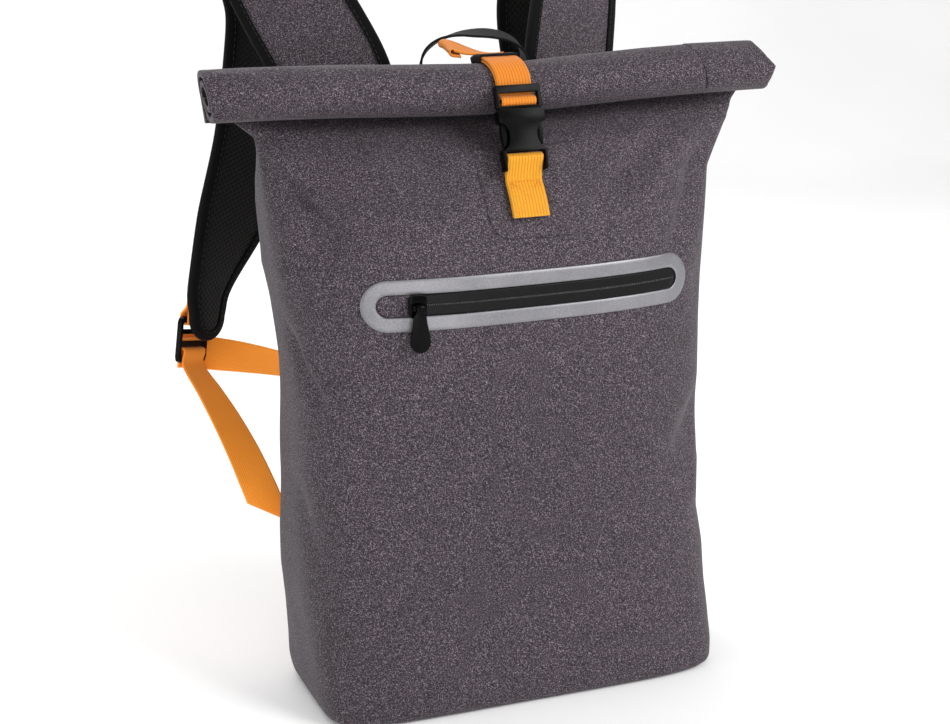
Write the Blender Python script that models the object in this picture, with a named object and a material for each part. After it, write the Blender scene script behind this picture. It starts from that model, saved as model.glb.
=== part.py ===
"""Waterproof roll-top backpack: metres, +Z up, front at -Y, origin at the middle of the flat base."""

import math

import bpy
import bmesh
import numpy as np
from mathutils import Matrix, Vector
from mathutils.geometry import tessellate_polygon

# Driving sizes
NECK_HEIGHT = 0.404
BODY_WIDTH = 0.300
BODY_DEPTH = 0.136
WALL = 0.0022
NECK_SLIT = 0.0012
ROLL_LENGTH = 0.3925
ROLL_DEPTH = 0.040
ROLL_HEIGHT = 0.036
ROLL_ASIDE = 0.0018
ROLL_PLY = 0.0038
ROLL_GAP = 0.0014
ROLL_SLANT = 0.003
ROLL_SAG = 0.0055
FIT = 0.0004
WEBBING = 0.025
WEBBING_THICK = 0.0016
CLOSURE_ASIDE = 0.004
CLOSURE_SKEW = 0.006
BUCKLE_WIDTH = 0.032
BUCKLE_LENGTH = 0.040
BUCKLE_THICK = 0.0086
BUCKLE_TILT = math.radians(15.5)
PATCH_WIDTH = 0.074
PATCH_FOOT_DROP = 0.078
PATCH_HEAD_DROP = 0.022
PATCH_THICK = 0.0011
TONGUE_FOOT_DROP = 0.064
TONGUE_SEWN = 0.022
TONGUE_LAP = 0.0012
ZIP_LENGTH = 0.229
ZIP_WIDTH = 0.0335
ZIP_BAND = 0.0094
ZIP_ASIDE = 0.0045
ZIP_DROP = 0.115
ZIP_THICK = 0.0009
GARAGE_LENGTH = 0.0215
SLIDER_ASIDE = 0.077
SLIDER_WIDTH = 0.012
SLIDER_LENGTH = 0.0145
PULLER_LENGTH = 0.031
PULLER_WIDTH = 0.0134
PULLER_THICK = 0.0026
PAD_WIDTH = 0.078
PAD_THICK = 0.0072
PAD_BINDING = 0.0075
LOCK_LENGTH = 0.034
LOCK_WIDTH = 0.032
LOCK_THICK = 0.0042
HAUL_WIDTH = 0.018
HAUL_SPAN = 0.075
HAUL_RISE = 0.046
HAUL_BACK = 0.033
YOKE_THICK = 0.003

# Heights that follow the neck
ZIP_HEIGHT = NECK_HEIGHT - ZIP_DROP
PATCH_FOOT = NECK_HEIGHT - PATCH_FOOT_DROP
PATCH_HEAD = NECK_HEIGHT - PATCH_HEAD_DROP
TONGUE_FOOT = NECK_HEIGHT - TONGUE_FOOT_DROP
HAUL_HEAD = NECK_HEIGHT + HAUL_RISE

# Sections of the body, as shares of NECK_HEIGHT, of half BODY_WIDTH and of half BODY_DEPTH
# height, half width, middle, front, back, front squareness, back squareness
BODY_ROWS = (
    (0.000, 0.955, 0.00, 0.900, 0.890, 6.0, 7.0),
    (0.006, 0.990, 0.00, 0.955, 0.940, 6.0, 7.0),
    (0.020, 1.008, 0.00, 0.985, 0.975, 5.5, 7.0),
    (0.050, 1.018, 0.00, 1.005, 0.990, 5.0, 7.0),
    (0.220, 1.002, 0.00, 1.018, 0.990, 3.6, 6.0),
    (0.400, 0.975, 0.00, 1.020, 0.990, 2.9, 5.5),
    (0.600, 0.980, 0.00, 1.012, 0.990, 2.7, 5.5),
    (0.740, 1.005, 0.00, 0.985, 0.985, 2.6, 5.2),
    (0.840, 1.052, 0.02, 0.850, 0.940, 2.5, 4.4),
    (0.900, 1.092, 0.04, 0.660, 0.820, 2.2, 3.4),
    (0.945, 1.130, 0.08, 0.430, 0.560, 1.9, 2.5),
    (0.972, 1.165, 0.11, 0.190, 0.230, 1.7, 1.9),
    (0.986, 1.190, 0.12, 0.060, 0.060, 1.9, 1.9),
    (1.000, 1.225, 0.12, 0.0415, 0.0415, 2.0, 2.0),
)
# Share round the section from the front's middle, height, radius round, radius up, lean, depth in metres
BODY_DENTS = (
    (-0.335, 0.880, 0.050, 0.050, 0.00, 0.0060),
    (0.335, 0.880, 0.045, 0.045, 0.00, 0.0040),
    (-0.300, 0.520, 0.018, 0.075, -0.60, 0.0028),
    (0.350, 0.410, 0.050, 0.045, 0.00, 0.0050),
    (0.360, 0.700, 0.040, 0.030, 0.00, 0.0022),
    (-0.130, 0.945, 0.050, 0.035, 0.00, 0.0040),
    (0.140, 0.940, 0.050, 0.030, 0.00, 0.0025),
)
BODY_ROUND = 10
BODY_LEVELS = (0, .006, .02, .05, .14, .25, .36, .46, .56, .66, .74, .80, .85, .885, .91, .93, .947, .962, .974, .986, 1)

# Line of a shoulder pad, as shares of BODY_WIDTH, of BODY_DEPTH behind the pad's root, and of NECK_HEIGHT
# across, back, height, width share, turn in degrees
PAD_ROWS = (
    (0.255, 0.000, 0.915, 0.96, 5),
    (0.270, 0.030, 0.985, 0.98, -6),
    (0.294, 0.080, 1.055, 1.00, -20),
    (0.352, 0.285, 1.165, 1.00, -25),
    (0.385, 0.435, 1.240, 1.00, -18),
    (0.372, 0.595, 1.232, 1.00, -8),
    (0.345, 0.660, 1.150, 1.00, 0),
    (0.358, 0.675, 1.050, 1.00, 5),
    (0.400, 0.675, 0.915, 0.97, 12),
    (0.487, 0.655, 0.770, 0.80, 23),
    (0.550, 0.635, 0.660, 0.56, 34),
    (0.563, 0.615, 0.606, 0.47, 40),
)

GREY = (0.082, 0.068, 0.080)
ORANGE = (0.87, 0.36, 0.03)
BLACK = (0.008, 0.008, 0.009)


def clear_scene():
    for obj in list(bpy.data.objects):
        bpy.data.objects.remove(obj, do_unlink=True)


def material(name, colour, roughness, metallic=0.0):
    made = bpy.data.materials.new(name)
    made.use_nodes = True
    shader = made.node_tree.nodes["Principled BSDF"]
    shader.inputs["Base Color"].default_value = (*colour, 1.0)
    shader.inputs["Roughness"].default_value = roughness
    shader.inputs["Metallic"].default_value = metallic
    made.diffuse_color = (*colour, 1.0)
    return made


def solid(name, points, faces, look, helper=False):
    """One closed body with its faces turned out."""
    mesh = bpy.data.meshes.new(name)
    mesh.from_pydata([tuple(map(float, p)) for p in points], [], faces)
    work = bmesh.new()
    work.from_mesh(mesh)
    bmesh.ops.recalc_face_normals(work, faces=work.faces)
    if work.calc_volume(signed=True) < 0:
        bmesh.ops.reverse_faces(work, faces=work.faces)
    work.to_mesh(mesh)
    work.free()
    obj = bpy.data.objects.new(name, mesh)
    bpy.context.scene.collection.objects.link(obj)
    if look:
        mesh.materials.append(look)
    if helper:
        obj.hide_render = True
        obj.display_type = "WIRE"
    return obj


def ring_faces(rings, around, closed_rings=False):
    """Quads between successive rings of points."""
    faces = []
    for row in range(rings if closed_rings else rings - 1):
        a = row * around
        b = ((row + 1) % rings) * around
        for k in range(around):
            n = (k + 1) % around
            faces.append((a + k, a + n, b + n, b + k))
    return faces


def steady(rows, at):
    """Smooth values between the rows of a table, with no overshoot."""
    table = np.array(rows, float)
    x = table[:, 0]
    y = table[:, 1:]
    k = int(np.clip(np.searchsorted(x, at) - 1, 0, len(x) - 2))
    step = np.diff(x)[:, None]
    rise = np.diff(y, axis=0) / step
    slope = np.zeros_like(y)
    same = rise[1:] * rise[:-1] > 0
    total = rise[1:] + rise[:-1]
    slope[1:-1] = np.where(same, 2 * rise[1:] * rise[:-1] / np.where(same, total, 1.0), 0.0)
    slope[0] = rise[0]
    slope[-1] = rise[-1]
    h = x[k + 1] - x[k]
    t = (at - x[k]) / h
    first = (2 * t**3 - 3 * t**2 + 1) * y[k] + (t**3 - 2 * t**2 + t) * h * slope[k]
    return first + (-2 * t**3 + 3 * t**2) * y[k + 1] + (t**3 - t**2) * h * slope[k + 1]


def curve_through(points, count):
    """Catmull-Rom line through the rows, sampled evenly, with each sample's place in the table."""
    rows = np.array(points, float)
    ends = np.vstack([2 * rows[0] - rows[1], rows, 2 * rows[-1] - rows[-2]])
    dense = []
    for k in range(len(rows) - 1):
        p0, p1, p2, p3 = ends[k : k + 4]
        for t in np.linspace(0, 1, 24, endpoint=k == len(rows) - 2):
            a = 2 * p1 + (p2 - p0) * t + (2 * p0 - 5 * p1 + 4 * p2 - p3) * t**2
            dense.append(0.5 * (a + (3 * p1 - p0 - 3 * p2 + p3) * t**3))
    dense = np.array(dense)
    run = np.concatenate([[0], np.cumsum(np.linalg.norm(np.diff(dense[:, :3], axis=0), axis=1))])
    even = np.linspace(0, run[-1], count)
    return np.stack([np.interp(even, run, dense[:, k]) for k in range(rows.shape[1])], axis=1)


# Body shell
def body_section(share):
    half, middle, front, back, square_front, square_back = steady(BODY_ROWS, share)
    deep = BODY_DEPTH / 2
    thin = WALL + NECK_SLIT / 2
    return (
        half * BODY_WIDTH / 2,
        middle * deep,
        max(front * deep, thin),
        max(back * deep, thin),
        square_front,
        square_back,
    )


def section_points(half, middle, front, back, square_front, square_back):
    """Points round one section from the middle of the front, evenly spaced within each quarter."""
    def quarter(depth, power):
        t = np.linspace(0, math.pi / 2, 160)
        x = half * np.sin(t) ** (2 / power)
        y = depth * np.cos(t) ** (2 / power)
        turn = np.unwrap(np.arctan2(np.diff(y), np.diff(x)))
        bend = np.concatenate([[0], np.abs(np.diff(turn))]) * min(0.035, half)
        run = np.concatenate([[0], np.cumsum(np.hypot(np.diff(x), np.diff(y)) + bend)])
        even = np.linspace(0, run[-1], BODY_ROUND + 1)
        return np.interp(even, run, x), np.interp(even, run, y)

    fx, fy = quarter(front, square_front)
    bx, by = quarter(back, square_back)
    right = [(x, middle - y) for x, y in zip(fx, fy)]
    right += [(x, middle + y) for x, y in zip(bx[::-1][1:], by[::-1][1:])]
    left = [(-x, y) for x, y in right[-2:0:-1]]
    return right + left


def dent(share_round, share_up):
    sunk = 0.0
    for place, height, wide, tall, lean, depth in BODY_DENTS:
        u = share_round - place - lean * (share_up - height)
        v = share_up - height
        sunk += depth * math.exp(-((u / wide) ** 2) - (v / tall) ** 2)
    return sunk


def roll_drop(x):
    """How far the closure strap pulls the roll and the neck down at this place."""
    return ROLL_SAG * math.exp(-(((x + 0.012 * ROLL_LENGTH) / (0.26 * ROLL_LENGTH)) ** 2))


def sag(x, share):
    part = min(max((share - 0.93) / 0.055, 0.0), 1.0)
    return roll_drop(x) * part * part * (3 - 2 * part)


def level(x, z):
    share = z / NECK_HEIGHT
    for _ in range(4):
        share = min(max((z + sag(x, share)) / NECK_HEIGHT, 0.0), 1.0)
    return share


def back_face(x, z):
    """How far back the back panel's outside is at this place, as Y."""
    half, middle, _, back, _, power = body_section(level(x, z))
    inside = max(1 - abs(x / half) ** power, 0.0)
    return middle + back * inside ** (1 / power)


def front_face(x, z):
    """How far forward the front panel's outside is at this place, as Y."""
    half, middle, front, _, power, _ = body_section(level(x, z))
    inside = max(1 - abs(x / half) ** power, 0.0)
    return middle - front * inside ** (1 / power)


def body_shell(look):
    around = 4 * BODY_ROUND
    points = []
    for inner in (0, 1):
        levels = BODY_LEVELS if not inner else BODY_LEVELS[::-1]
        for share in levels:
            half, middle, front, back, sf, sb = body_section(share)
            drop = WALL * inner
            ring = section_points(half - drop, middle, front - drop, back - drop, sf, sb)
            z = share * NECK_HEIGHT
            if inner:
                z = WALL + z * (NECK_HEIGHT - WALL) / NECK_HEIGHT
            for k, (x, y) in enumerate(ring):
                place = k / (2 * BODY_ROUND)
                if place > 1:
                    place -= 2
                away = Vector((x / half**2, (y - middle) / max(front, back) ** 2))
                away.normalize()
                sunk = dent(place, share)
                points.append((x - away.x * sunk, y - away.y * sunk, z - sag(x, share)))
    rings = 2 * len(BODY_LEVELS)
    faces = ring_faces(rings, around)
    faces.append(tuple(range(around - 1, -1, -1)))
    last = (rings - 1) * around
    faces.append(tuple(range(last, last + around)))
    return solid("body_shell", points, faces, look)


# Rolled top
ROLL_Y = 0.12 * BODY_DEPTH / 2 - ROLL_DEPTH / 2 + ROLL_PLY / 2
ROLL_Z = NECK_HEIGHT + ROLL_HEIGHT / 2


def roll_point(degrees, out):
    """A point of the roll's spiral, out from its outer face by this much."""
    step = ROLL_PLY + ROLL_GAP
    turned = max(0.0, degrees - 180)
    drop = step * turned / 180 if turned < 180 else step * turned / 360 + step / 2
    angle = math.radians(degrees)
    y = ROLL_Y + (ROLL_DEPTH / 2 - drop + out) * math.cos(angle)
    z = ROLL_Z + (ROLL_HEIGHT / 2 - drop + out) * math.sin(angle)
    return y, z


def roll_top(look):
    turns = list(range(0, 200, 14)) + list(range(202, 340, 20)) + list(range(350, 530, 30)) + list(range(545, 740, 45))
    foot = NECK_HEIGHT + FIT
    back = 0.12 * BODY_DEPTH / 2
    outer = [(back + ROLL_PLY / 2, foot)] + [roll_point(t, 0) for t in turns]
    inner = [(back - ROLL_PLY / 2, foot)] + [roll_point(t, -ROLL_PLY) for t in turns]
    loop = outer + inner[::-1]
    shares = (-1, -0.97, -0.7, -0.4, -0.14, 0.02, 0.18, 0.45, 0.7, 0.97, 1)
    points = []
    for share in shares:
        pinch = 1 - 0.03 * math.exp(-(((share - 0.02) / 0.13) ** 2))
        ease = 0.985 if abs(share) == 1 else 1.0
        for y, z in loop:
            up = (z - ROLL_Z) / (ROLL_HEIGHT / 2)
            x = ROLL_ASIDE + share * ROLL_LENGTH / 2 - ROLL_SLANT * up * abs(share) ** 3
            grow = pinch * ease if z > foot + 0.006 else 1.0
            points.append((x, ROLL_Y + (y - ROLL_Y) * grow, ROLL_Z + (z - ROLL_Z) * grow - roll_drop(x)))
    around = len(loop)
    faces = ring_faces(len(shares), around)
    half = around // 2
    last = (len(shares) - 1) * around
    for k in range(half - 1):
        faces.append((k + 1, k, around - 1 - k, around - 2 - k))
        faces.append((last + k, last + k + 1, last + around - 2 - k, last + around - 1 - k))
    return solid("roll_top", points, faces, look)


# Flat pieces that lie on the front panel
def sheet(name, rows, columns, lift, thick, look, behind=False):
    """A sheet on the front or the back panel. Each row gives a height and its two ends across."""
    points = []
    for layer in (lift, lift + thick):
        for z, low, high in rows:
            for x in np.linspace(low, high, columns):
                y = back_face(x, z) + layer if behind else front_face(x, z) - layer
                points.append((x, y, z))
    count = len(rows) * columns
    faces = []
    for r in range(len(rows) - 1):
        for c in range(columns - 1):
            a = r * columns + c
            b = a + columns
            faces.append((a, b, b + 1, a + 1))
            faces.append((count + a, count + a + 1, count + b + 1, count + b))
    edge = [c for c in range(columns)]
    edge += [r * columns + columns - 1 for r in range(1, len(rows))]
    edge += [(len(rows) - 1) * columns + c for c in range(columns - 2, -1, -1)]
    edge += [r * columns for r in range(len(rows) - 2, 0, -1)]
    for a, b in zip(edge, edge[1:] + edge[:1]):
        faces.append((a, b, count + b, count + a))
    return solid(name, points, faces, look)


def buckle_patch(look):
    tall = PATCH_HEAD - PATCH_FOOT
    round_corner = 0.20 * PATCH_WIDTH
    rows = []
    for share in (0, 0.03, 0.08, 0.15, 0.25, 0.40, 0.55, 0.70, 0.85, 1.0):
        z = PATCH_FOOT + share * tall
        half = PATCH_WIDTH / 2 * (0.94 + 0.06 * share)
        into = max(0.0, round_corner - share * tall)
        half -= round_corner - math.sqrt(max(round_corner**2 - into**2, 0.0))
        middle = CLOSURE_ASIDE + 0.10 * PATCH_WIDTH
        rows.append((z, middle - half, middle + half))
    return sheet("buckle_patch", rows, 9, 3 * FIT, PATCH_THICK, look)


def stadium(length, width, count):
    """Points round a stadium, each paired by its order with those of another one."""
    arc = count // 4
    points = []
    for side in (1, -1):
        for k in range(arc + 1):
            angle = math.pi * (k / arc - 0.5)
            points.append((side * ((length - width) / 2 + width / 2 * math.cos(angle)), side * width / 2 * math.sin(angle)))
        straight = count // 2 - arc - 1
        for k in range(1, straight + 1):
            share = 1 - 2 * k / (straight + 1)
            points.append((side * share * (length - width) / 2, side * width / 2))
    return points


def zip_frame(look):
    outer = stadium(ZIP_LENGTH, ZIP_WIDTH, 44)
    inner = stadium(ZIP_LENGTH - 2 * ZIP_BAND, ZIP_WIDTH - 2 * ZIP_BAND, 44)
    points = []
    for loop, lift in ((outer, FIT), (outer, FIT + ZIP_THICK), (inner, FIT + ZIP_THICK), (inner, FIT)):
        for x, z in loop:
            x += ZIP_ASIDE
            points.append((x, front_face(x, ZIP_HEIGHT + z) - lift, ZIP_HEIGHT + z))
    return solid("zip_frame", points, ring_faces(4, len(outer), closed_rings=True), look)


def window_rows(start, end, margin):
    """Rows across the zip's window between two places along it."""
    width = ZIP_WIDTH - 2 * ZIP_BAND - 2 * margin
    reach = ZIP_LENGTH / 2 - ZIP_BAND - margin
    rows = []
    for share in (-1, -0.93, -0.72, -0.38, 0, 0.38, 0.72, 0.93, 1):
        z = share * width / 2
        bulge = math.sqrt(max((width / 2) ** 2 - z**2, 0.0))
        far = reach - width / 2 + bulge
        low = ZIP_ASIDE - far if start is None else start
        high = ZIP_ASIDE + far if end is None else end
        rows.append((ZIP_HEIGHT + z, low, high))
    return rows


def zip_cloth(grey, tape, coil):
    split = ZIP_ASIDE - ZIP_LENGTH / 2 + ZIP_BAND + GARAGE_LENGTH
    sheet("zip_garage", window_rows(None, split - FIT, FIT), 5, FIT, ZIP_THICK, grey)
    sheet("zip_tape", window_rows(split, None, FIT), 10, FIT, 0.6 * ZIP_THICK, tape)
    half = 0.0011
    end = ZIP_ASIDE + ZIP_LENGTH / 2 - 1.4 * ZIP_BAND
    rows = [(ZIP_HEIGHT - half, split + SLIDER_WIDTH, end), (ZIP_HEIGHT + half, split + SLIDER_WIDTH, end)]
    sheet("zip_coil", rows, 12, 1.5 * FIT + 0.6 * ZIP_THICK, 0.0007, coil)


# Straps
def frames_of(line, turns=None, side=(1, 0, 0)):
    """Along, across and out directions at each point of a line. The side may be given once or for each point."""
    line = [Vector(p) for p in line]
    found = []
    for k, point in enumerate(line):
        along = (line[min(k + 1, len(line) - 1)] - line[max(k - 1, 0)]).normalized()
        across = Vector(side if isinstance(side[0], (int, float)) else side[k])
        if turns is not None:
            across = Matrix.Rotation(math.radians(turns[k]), 3, "Z") @ across
        across = (across - across.dot(along) * along).normalized()
        found.append((point, along, across, across.cross(along)))
    return found


def on_side(name, points, faces, look, right):
    """The left-hand piece as modelled, or its mirror image."""
    if right:
        points = [(-p[0], p[1], p[2]) for p in points]
    return solid(name + ("_right" if right else "_left"), points, faces, look)


def strap(name, line, width, thick, look, side=(1, 0, 0), both=False, slant=0.0):
    """Flat webbing along a line, with its corners a little eased. The far end may be cut at a slant."""
    points = []
    line_frames = frames_of(line, None, side)
    for k, (point, along, across, out) in enumerate(line_frames):
        half = width / 2
        if k == len(line_frames) - 1:
            across = across + along * slant
        deep = thick / 2
        ease = min(0.35 * thick, 0.2 * half)
        for a, b in ((-half, 0), (-half + ease, -deep), (half - ease, -deep), (half, 0), (half - ease, deep), (-half + ease, deep)):
            points.append(point + across * a + out * b)
    count = len(line_frames)
    faces = ring_faces(count, 6)
    faces.append(tuple(range(5, -1, -1)))
    faces.append(tuple(range((count - 1) * 6, count * 6)))
    if not both:
        return solid(name, points, faces, look)
    return [on_side(name, points, faces, look, right) for right in (False, True)]


def arc(centre, radius, start, end, steps):
    """Points of an arc in the YZ plane, degrees from +Y towards +Z."""
    found = []
    for k in range(steps + 1):
        angle = math.radians(start + (end - start) * k / steps)
        found.append((centre[0] + radius * math.cos(angle), centre[1] + radius * math.sin(angle)))
    return found


# Buckle
BUCKLE_Y = ROLL_Y - ROLL_DEPTH / 2 - 2 * WEBBING_THICK - 4 * FIT - 0.0019
BUCKLE_Z = ROLL_Z - 0.0025


def on_buckle(across, down, out):
    """A place on the buckle: down from its top bar, out from its middle plane."""
    y = BUCKLE_Y - down * math.sin(BUCKLE_TILT) - out * math.cos(BUCKLE_TILT)
    z = BUCKLE_Z - down * math.cos(BUCKLE_TILT) + out * math.sin(BUCKLE_TILT)
    return Vector((CLOSURE_ASIDE + across, y, z))


def plate(name, loops, low, high, place, look, helper=False):
    """A plate cut to an outline, with any holes, between two levels."""
    flat = [p for loop in loops for p in loop]
    count = len(flat)
    points = [place(a, b, low) for a, b in flat] + [place(a, b, high) for a, b in flat]
    faces = []
    for tri in tessellate_polygon([[Vector((a, b, 0)) for a, b in loop] for loop in loops]):
        faces.append(tuple(tri))
        faces.append(tuple(count + k for k in reversed(tri)))
    first = 0
    for loop in loops:
        size = len(loop)
        for k in range(size):
            a = first + k
            b = first + (k + 1) % size
            faces.append((a, b, count + b, count + a))
        first += size
    return solid(name, points, faces, look, helper)


def box_loop(low_a, high_a, low_b, high_b, corner=0.0):
    if not corner:
        return [(low_a, low_b), (high_a, low_b), (high_a, high_b), (low_a, high_b)]
    found = []
    for a, b, start in ((high_a, low_b, -90), (high_a, high_b, 0), (low_a, high_b, 90), (low_a, low_b, 180)):
        ca = a - math.copysign(corner, a - (low_a + high_a) / 2)
        cb = b - math.copysign(corner, b - (low_b + high_b) / 2)
        for k in range(3):
            angle = math.radians(start + 45 * k)
            found.append((ca + corner * math.cos(angle), cb + corner * math.sin(angle)))
    return found


def rod(name, start, end, radius, look, helper=False, sides=12):
    start = Vector(start)
    end = Vector(end)
    along = (end - start).normalized()
    first = along.orthogonal().normalized()
    second = along.cross(first)
    points = []
    for centre in (start, end):
        for k in range(sides):
            angle = 2 * math.pi * k / sides
            points.append(centre + radius * (math.cos(angle) * first + math.sin(angle) * second))
    faces = ring_faces(2, sides)
    faces.append(tuple(range(sides - 1, -1, -1)))
    faces.append(tuple(range(sides, 2 * sides)))
    return solid(name, points, faces, look, helper)


def combine(obj, other, operation):
    step = obj.modifiers.new(operation.lower(), "BOOLEAN")
    step.operation = operation
    step.object = other
    step.solver = "EXACT"


def settle(obj):
    """Makes the Booleans of a piece final and merges the points that they leave almost together."""
    bpy.context.view_layer.update()
    mesh = bpy.data.meshes.new_from_object(obj.evaluated_get(bpy.context.evaluated_depsgraph_get()))
    work = bmesh.new()
    work.from_mesh(mesh)
    bmesh.ops.remove_doubles(work, verts=work.verts, dist=0.00003)
    bmesh.ops.dissolve_degenerate(work, edges=work.edges, dist=0.00003)
    bmesh.ops.triangulate(work, faces=work.faces)
    work.to_mesh(mesh)
    work.free()
    obj.modifiers.clear()
    obj.data = mesh


FEMALE_TOP = 0.0132
TONGUE_BAR = FEMALE_TOP + 0.0318
MALE_BAR = 0.0078


def buckle_male(look):
    half = BUCKLE_WIDTH / 2
    top = -0.0026
    neck = FEMALE_TOP - FIT
    reach = neck + 0.0244
    outline = [
        (half - 0.001, top), (half, top + 0.002), (half, neck - 0.001), (half - 0.001, neck),
        (half - 0.0025, neck), (half - 0.0036, neck + 0.006), (half - 0.0024, neck + 0.0085), (half - 0.0014, neck + 0.013),
        (half - 0.0024, reach), (half - 0.0046, reach), (half - 0.0052, neck + 0.012), (half - 0.0068, neck + 0.004),
        (half - 0.0072, neck + 0.0008), (0.0022, neck + 0.0008), (0.0017, neck + 0.010),
    ]
    loop = outline + [(-a, b) for a, b in outline[::-1]]
    window = box_loop(-WEBBING / 2 - 0.0008, WEBBING / 2 + 0.0008, 0.0024, neck - 0.0016)
    plate_obj = plate("buckle_male", [loop, window], -0.0019, 0.0019, on_buckle, look)
    reach_bar = WEBBING / 2 + 0.0018
    ends = [on_buckle(side * reach_bar, MALE_BAR, 0.0002) for side in (-1, 1)]
    bar = rod("buckle_male_bar", ends[0], ends[1], 0.0011, look, True)
    combine(plate_obj, bar, "UNION")
    settle(plate_obj)


def buckle_female(look):
    half = BUCKLE_WIDTH / 2
    top = FEMALE_TOP
    foot = top + BUCKLE_LENGTH
    deep = BUCKLE_THICK / 2
    side = [(half - 0.0015, top), (half, top + 0.0015), (half - 0.0003, top + 0.0085)]
    for k in range(1, 8):
        angle = math.pi * k / 8
        side.append((half - 0.0004 - 0.0062 * math.sin(angle), top + 0.0175 - 0.009 * math.cos(angle)))
    side += [(half - 0.0006, top + 0.0268), (half - 0.0012, foot - 0.002), (half - 0.0017, foot)]
    notch = WEBBING / 2 + 0.0009
    side += [(notch + 0.0003, foot), (notch, foot - 0.001), (notch, top + 0.0285), (notch - 0.001, top + 0.0275)]
    loop = side + [(-a, b) for a, b in side[::-1]]
    body = plate("buckle_female", [loop], -deep, deep, on_buckle, look)
    room = BUCKLE_WIDTH / 2 - 0.0018
    cavity = plate("buckle_cavity", [box_loop(-room, room, top - 0.001, top + 0.0252)], -0.0023, 0.0023, on_buckle, None, True)
    combine(body, cavity, "DIFFERENCE")
    bar = rod("buckle_female_bar", on_buckle(-notch - 0.001, TONGUE_BAR, 0), on_buckle(notch + 0.001, TONGUE_BAR, 0), 0.0016, None, True)
    combine(body, bar, "UNION")
    settle(body)


def tongue(look):
    """Webbing sewn on the patch, round the buckle's lower bar and down again."""
    gap = 3 * FIT + PATCH_THICK + FIT + WEBBING_THICK / 2
    bar = on_buckle(0, TONGUE_BAR, 0)
    loop = 0.0016 + FIT + WEBBING_THICK / 2
    sewn = []
    for share in (0, 0.34, 0.67, 1):
        z = TONGUE_FOOT + share * TONGUE_SEWN
        sewn.append((front_face(CLOSURE_ASIDE, z) - gap, z))
    apart = WEBBING_THICK + FIT
    front = []
    for k, (y, z) in enumerate(sewn):
        y_low, z_low = sewn[max(k - 1, 0)]
        y_high, z_high = sewn[min(k + 1, len(sewn) - 1)]
        run = math.hypot(y_high - y_low, z_high - z_low)
        ahead = ((y_high - y_low) / run, (z_high - z_low) / run)
        lap = TONGUE_LAP if k == 0 else 0.0
        front.append((y - apart * ahead[1] - lap * ahead[0], z + apart * ahead[0] - lap * ahead[1]))
    wrap = arc((bar.y, bar.z), loop, 8, 172, 8)
    line = [(CLOSURE_ASIDE, y, z) for y, z in sewn + wrap + front[::-1]]
    strap("tongue", line, WEBBING, WEBBING_THICK, look)


def roll_ring(degrees, out):
    angle = math.radians(degrees)
    y = ROLL_Y + (ROLL_DEPTH / 2 + out) * math.cos(angle)
    return y, ROLL_Z - roll_drop(CLOSURE_ASIDE) + (ROLL_HEIGHT / 2 + out) * math.sin(angle)


def closure_x(y):
    """The strap lies a little askew, further to the left at the back."""
    share = (y - ROLL_Y) / ROLL_DEPTH + 0.5
    return CLOSURE_ASIDE - CLOSURE_SKEW * min(max(share, 0.0), 1.0)


def closure_strap(look):
    """From the neck's back over the roll, round the buckle's bar and back up to the keeper."""
    under = FIT + WEBBING_THICK / 2
    over = under + WEBBING_THICK + FIT
    bar = on_buckle(0, MALE_BAR, 0.0002)
    loop = 0.0011 + FIT + WEBBING_THICK / 2
    behind = -0.0019 - FIT - WEBBING_THICK / 2
    line = [(0.12 * BODY_DEPTH / 2 + ROLL_PLY / 2 + under, NECK_HEIGHT + 0.001 - roll_drop(CLOSURE_ASIDE))]
    line += [roll_ring(t, under) for t in range(0, 178, 13)]
    lowest = on_buckle(0, MALE_BAR + 1.05 * loop, -0.0042)
    line += [(line[-1][0], bar.z + 0.8 * loop), (lowest.y, lowest.z)]
    line += arc((bar.y, bar.z), loop, -95, -235, 6)
    line += [tuple(on_buckle(0, down, behind))[1:] for down in (0.0036, -0.0010)]
    line += [roll_ring(t, over) for t in range(176, 50, -14)]
    strap("closure_strap", [(closure_x(y), y, z) for y, z in line], 0.96 * WEBBING, WEBBING_THICK, look)


KEEPER_AT = 80


def strap_keeper(look):
    """Black band round both layers of the closure strap, on the crest of the roll."""
    low = FIT
    high = 2 * WEBBING_THICK + 3.5 * FIT
    half = 0.48 * WEBBING + FIT
    thick = 0.0012
    span = math.degrees(0.0055 / (ROLL_DEPTH / 2))
    outer = [(half + thick, low), (half + thick, high), (half, high + thick), (-half, high + thick)]
    outer += [(-half - thick, high), (-half - thick, low)]
    inner = [(-half, low), (-half, high), (half, high), (half, low)]
    points = []
    for turn in (KEEPER_AT - span, KEEPER_AT, KEEPER_AT + span):
        for x, out in outer + inner:
            y, z = roll_ring(turn, out)
            points.append((closure_x(y) + x, y, z))
    faces = ring_faces(3, 10)
    for a, flip in ((0, 1), (20, -1)):
        for quad in ((0, 1, 8, 9), (1, 2, 3, 4), (1, 4, 7, 8), (4, 5, 6, 7)):
            faces.append(tuple(a + k for k in quad[::flip]))
    return solid("strap_keeper", points, faces, look)


def closure_tail(look):
    """The strap's free end, folded to the left behind the keeper, with its hem turned under."""
    y, z = roll_ring(60, FIT + WEBBING_THICK)
    y += 0.44 * WEBBING
    z += 2 * WEBBING_THICK + FIT
    start = closure_x(y) + 0.46 * WEBBING
    reach = 0.036
    rise = 0.0050
    line = []
    for share in (0, 0.25, 0.5, 0.75, 0.93):
        line.append((start - share * reach, y, z + rise * share**1.5))
    turn = WEBBING_THICK / 2 + FIT
    tip = Vector(line[-1])
    for k in range(1, 6):
        angle = math.radians(90 + 30 * k + 15)
        line.append((tip.x + 1.6 * turn * math.cos(angle) - 0.0012, y, tip.z - turn * 1.3 + 1.3 * turn * math.sin(angle)))
    line.append((line[-1][0] + 0.006, y, line[-1][2] - 0.0009))
    return strap("closure_tail", line, 0.92 * WEBBING, WEBBING_THICK, look, side=(0, -1, 0.16))


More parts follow.
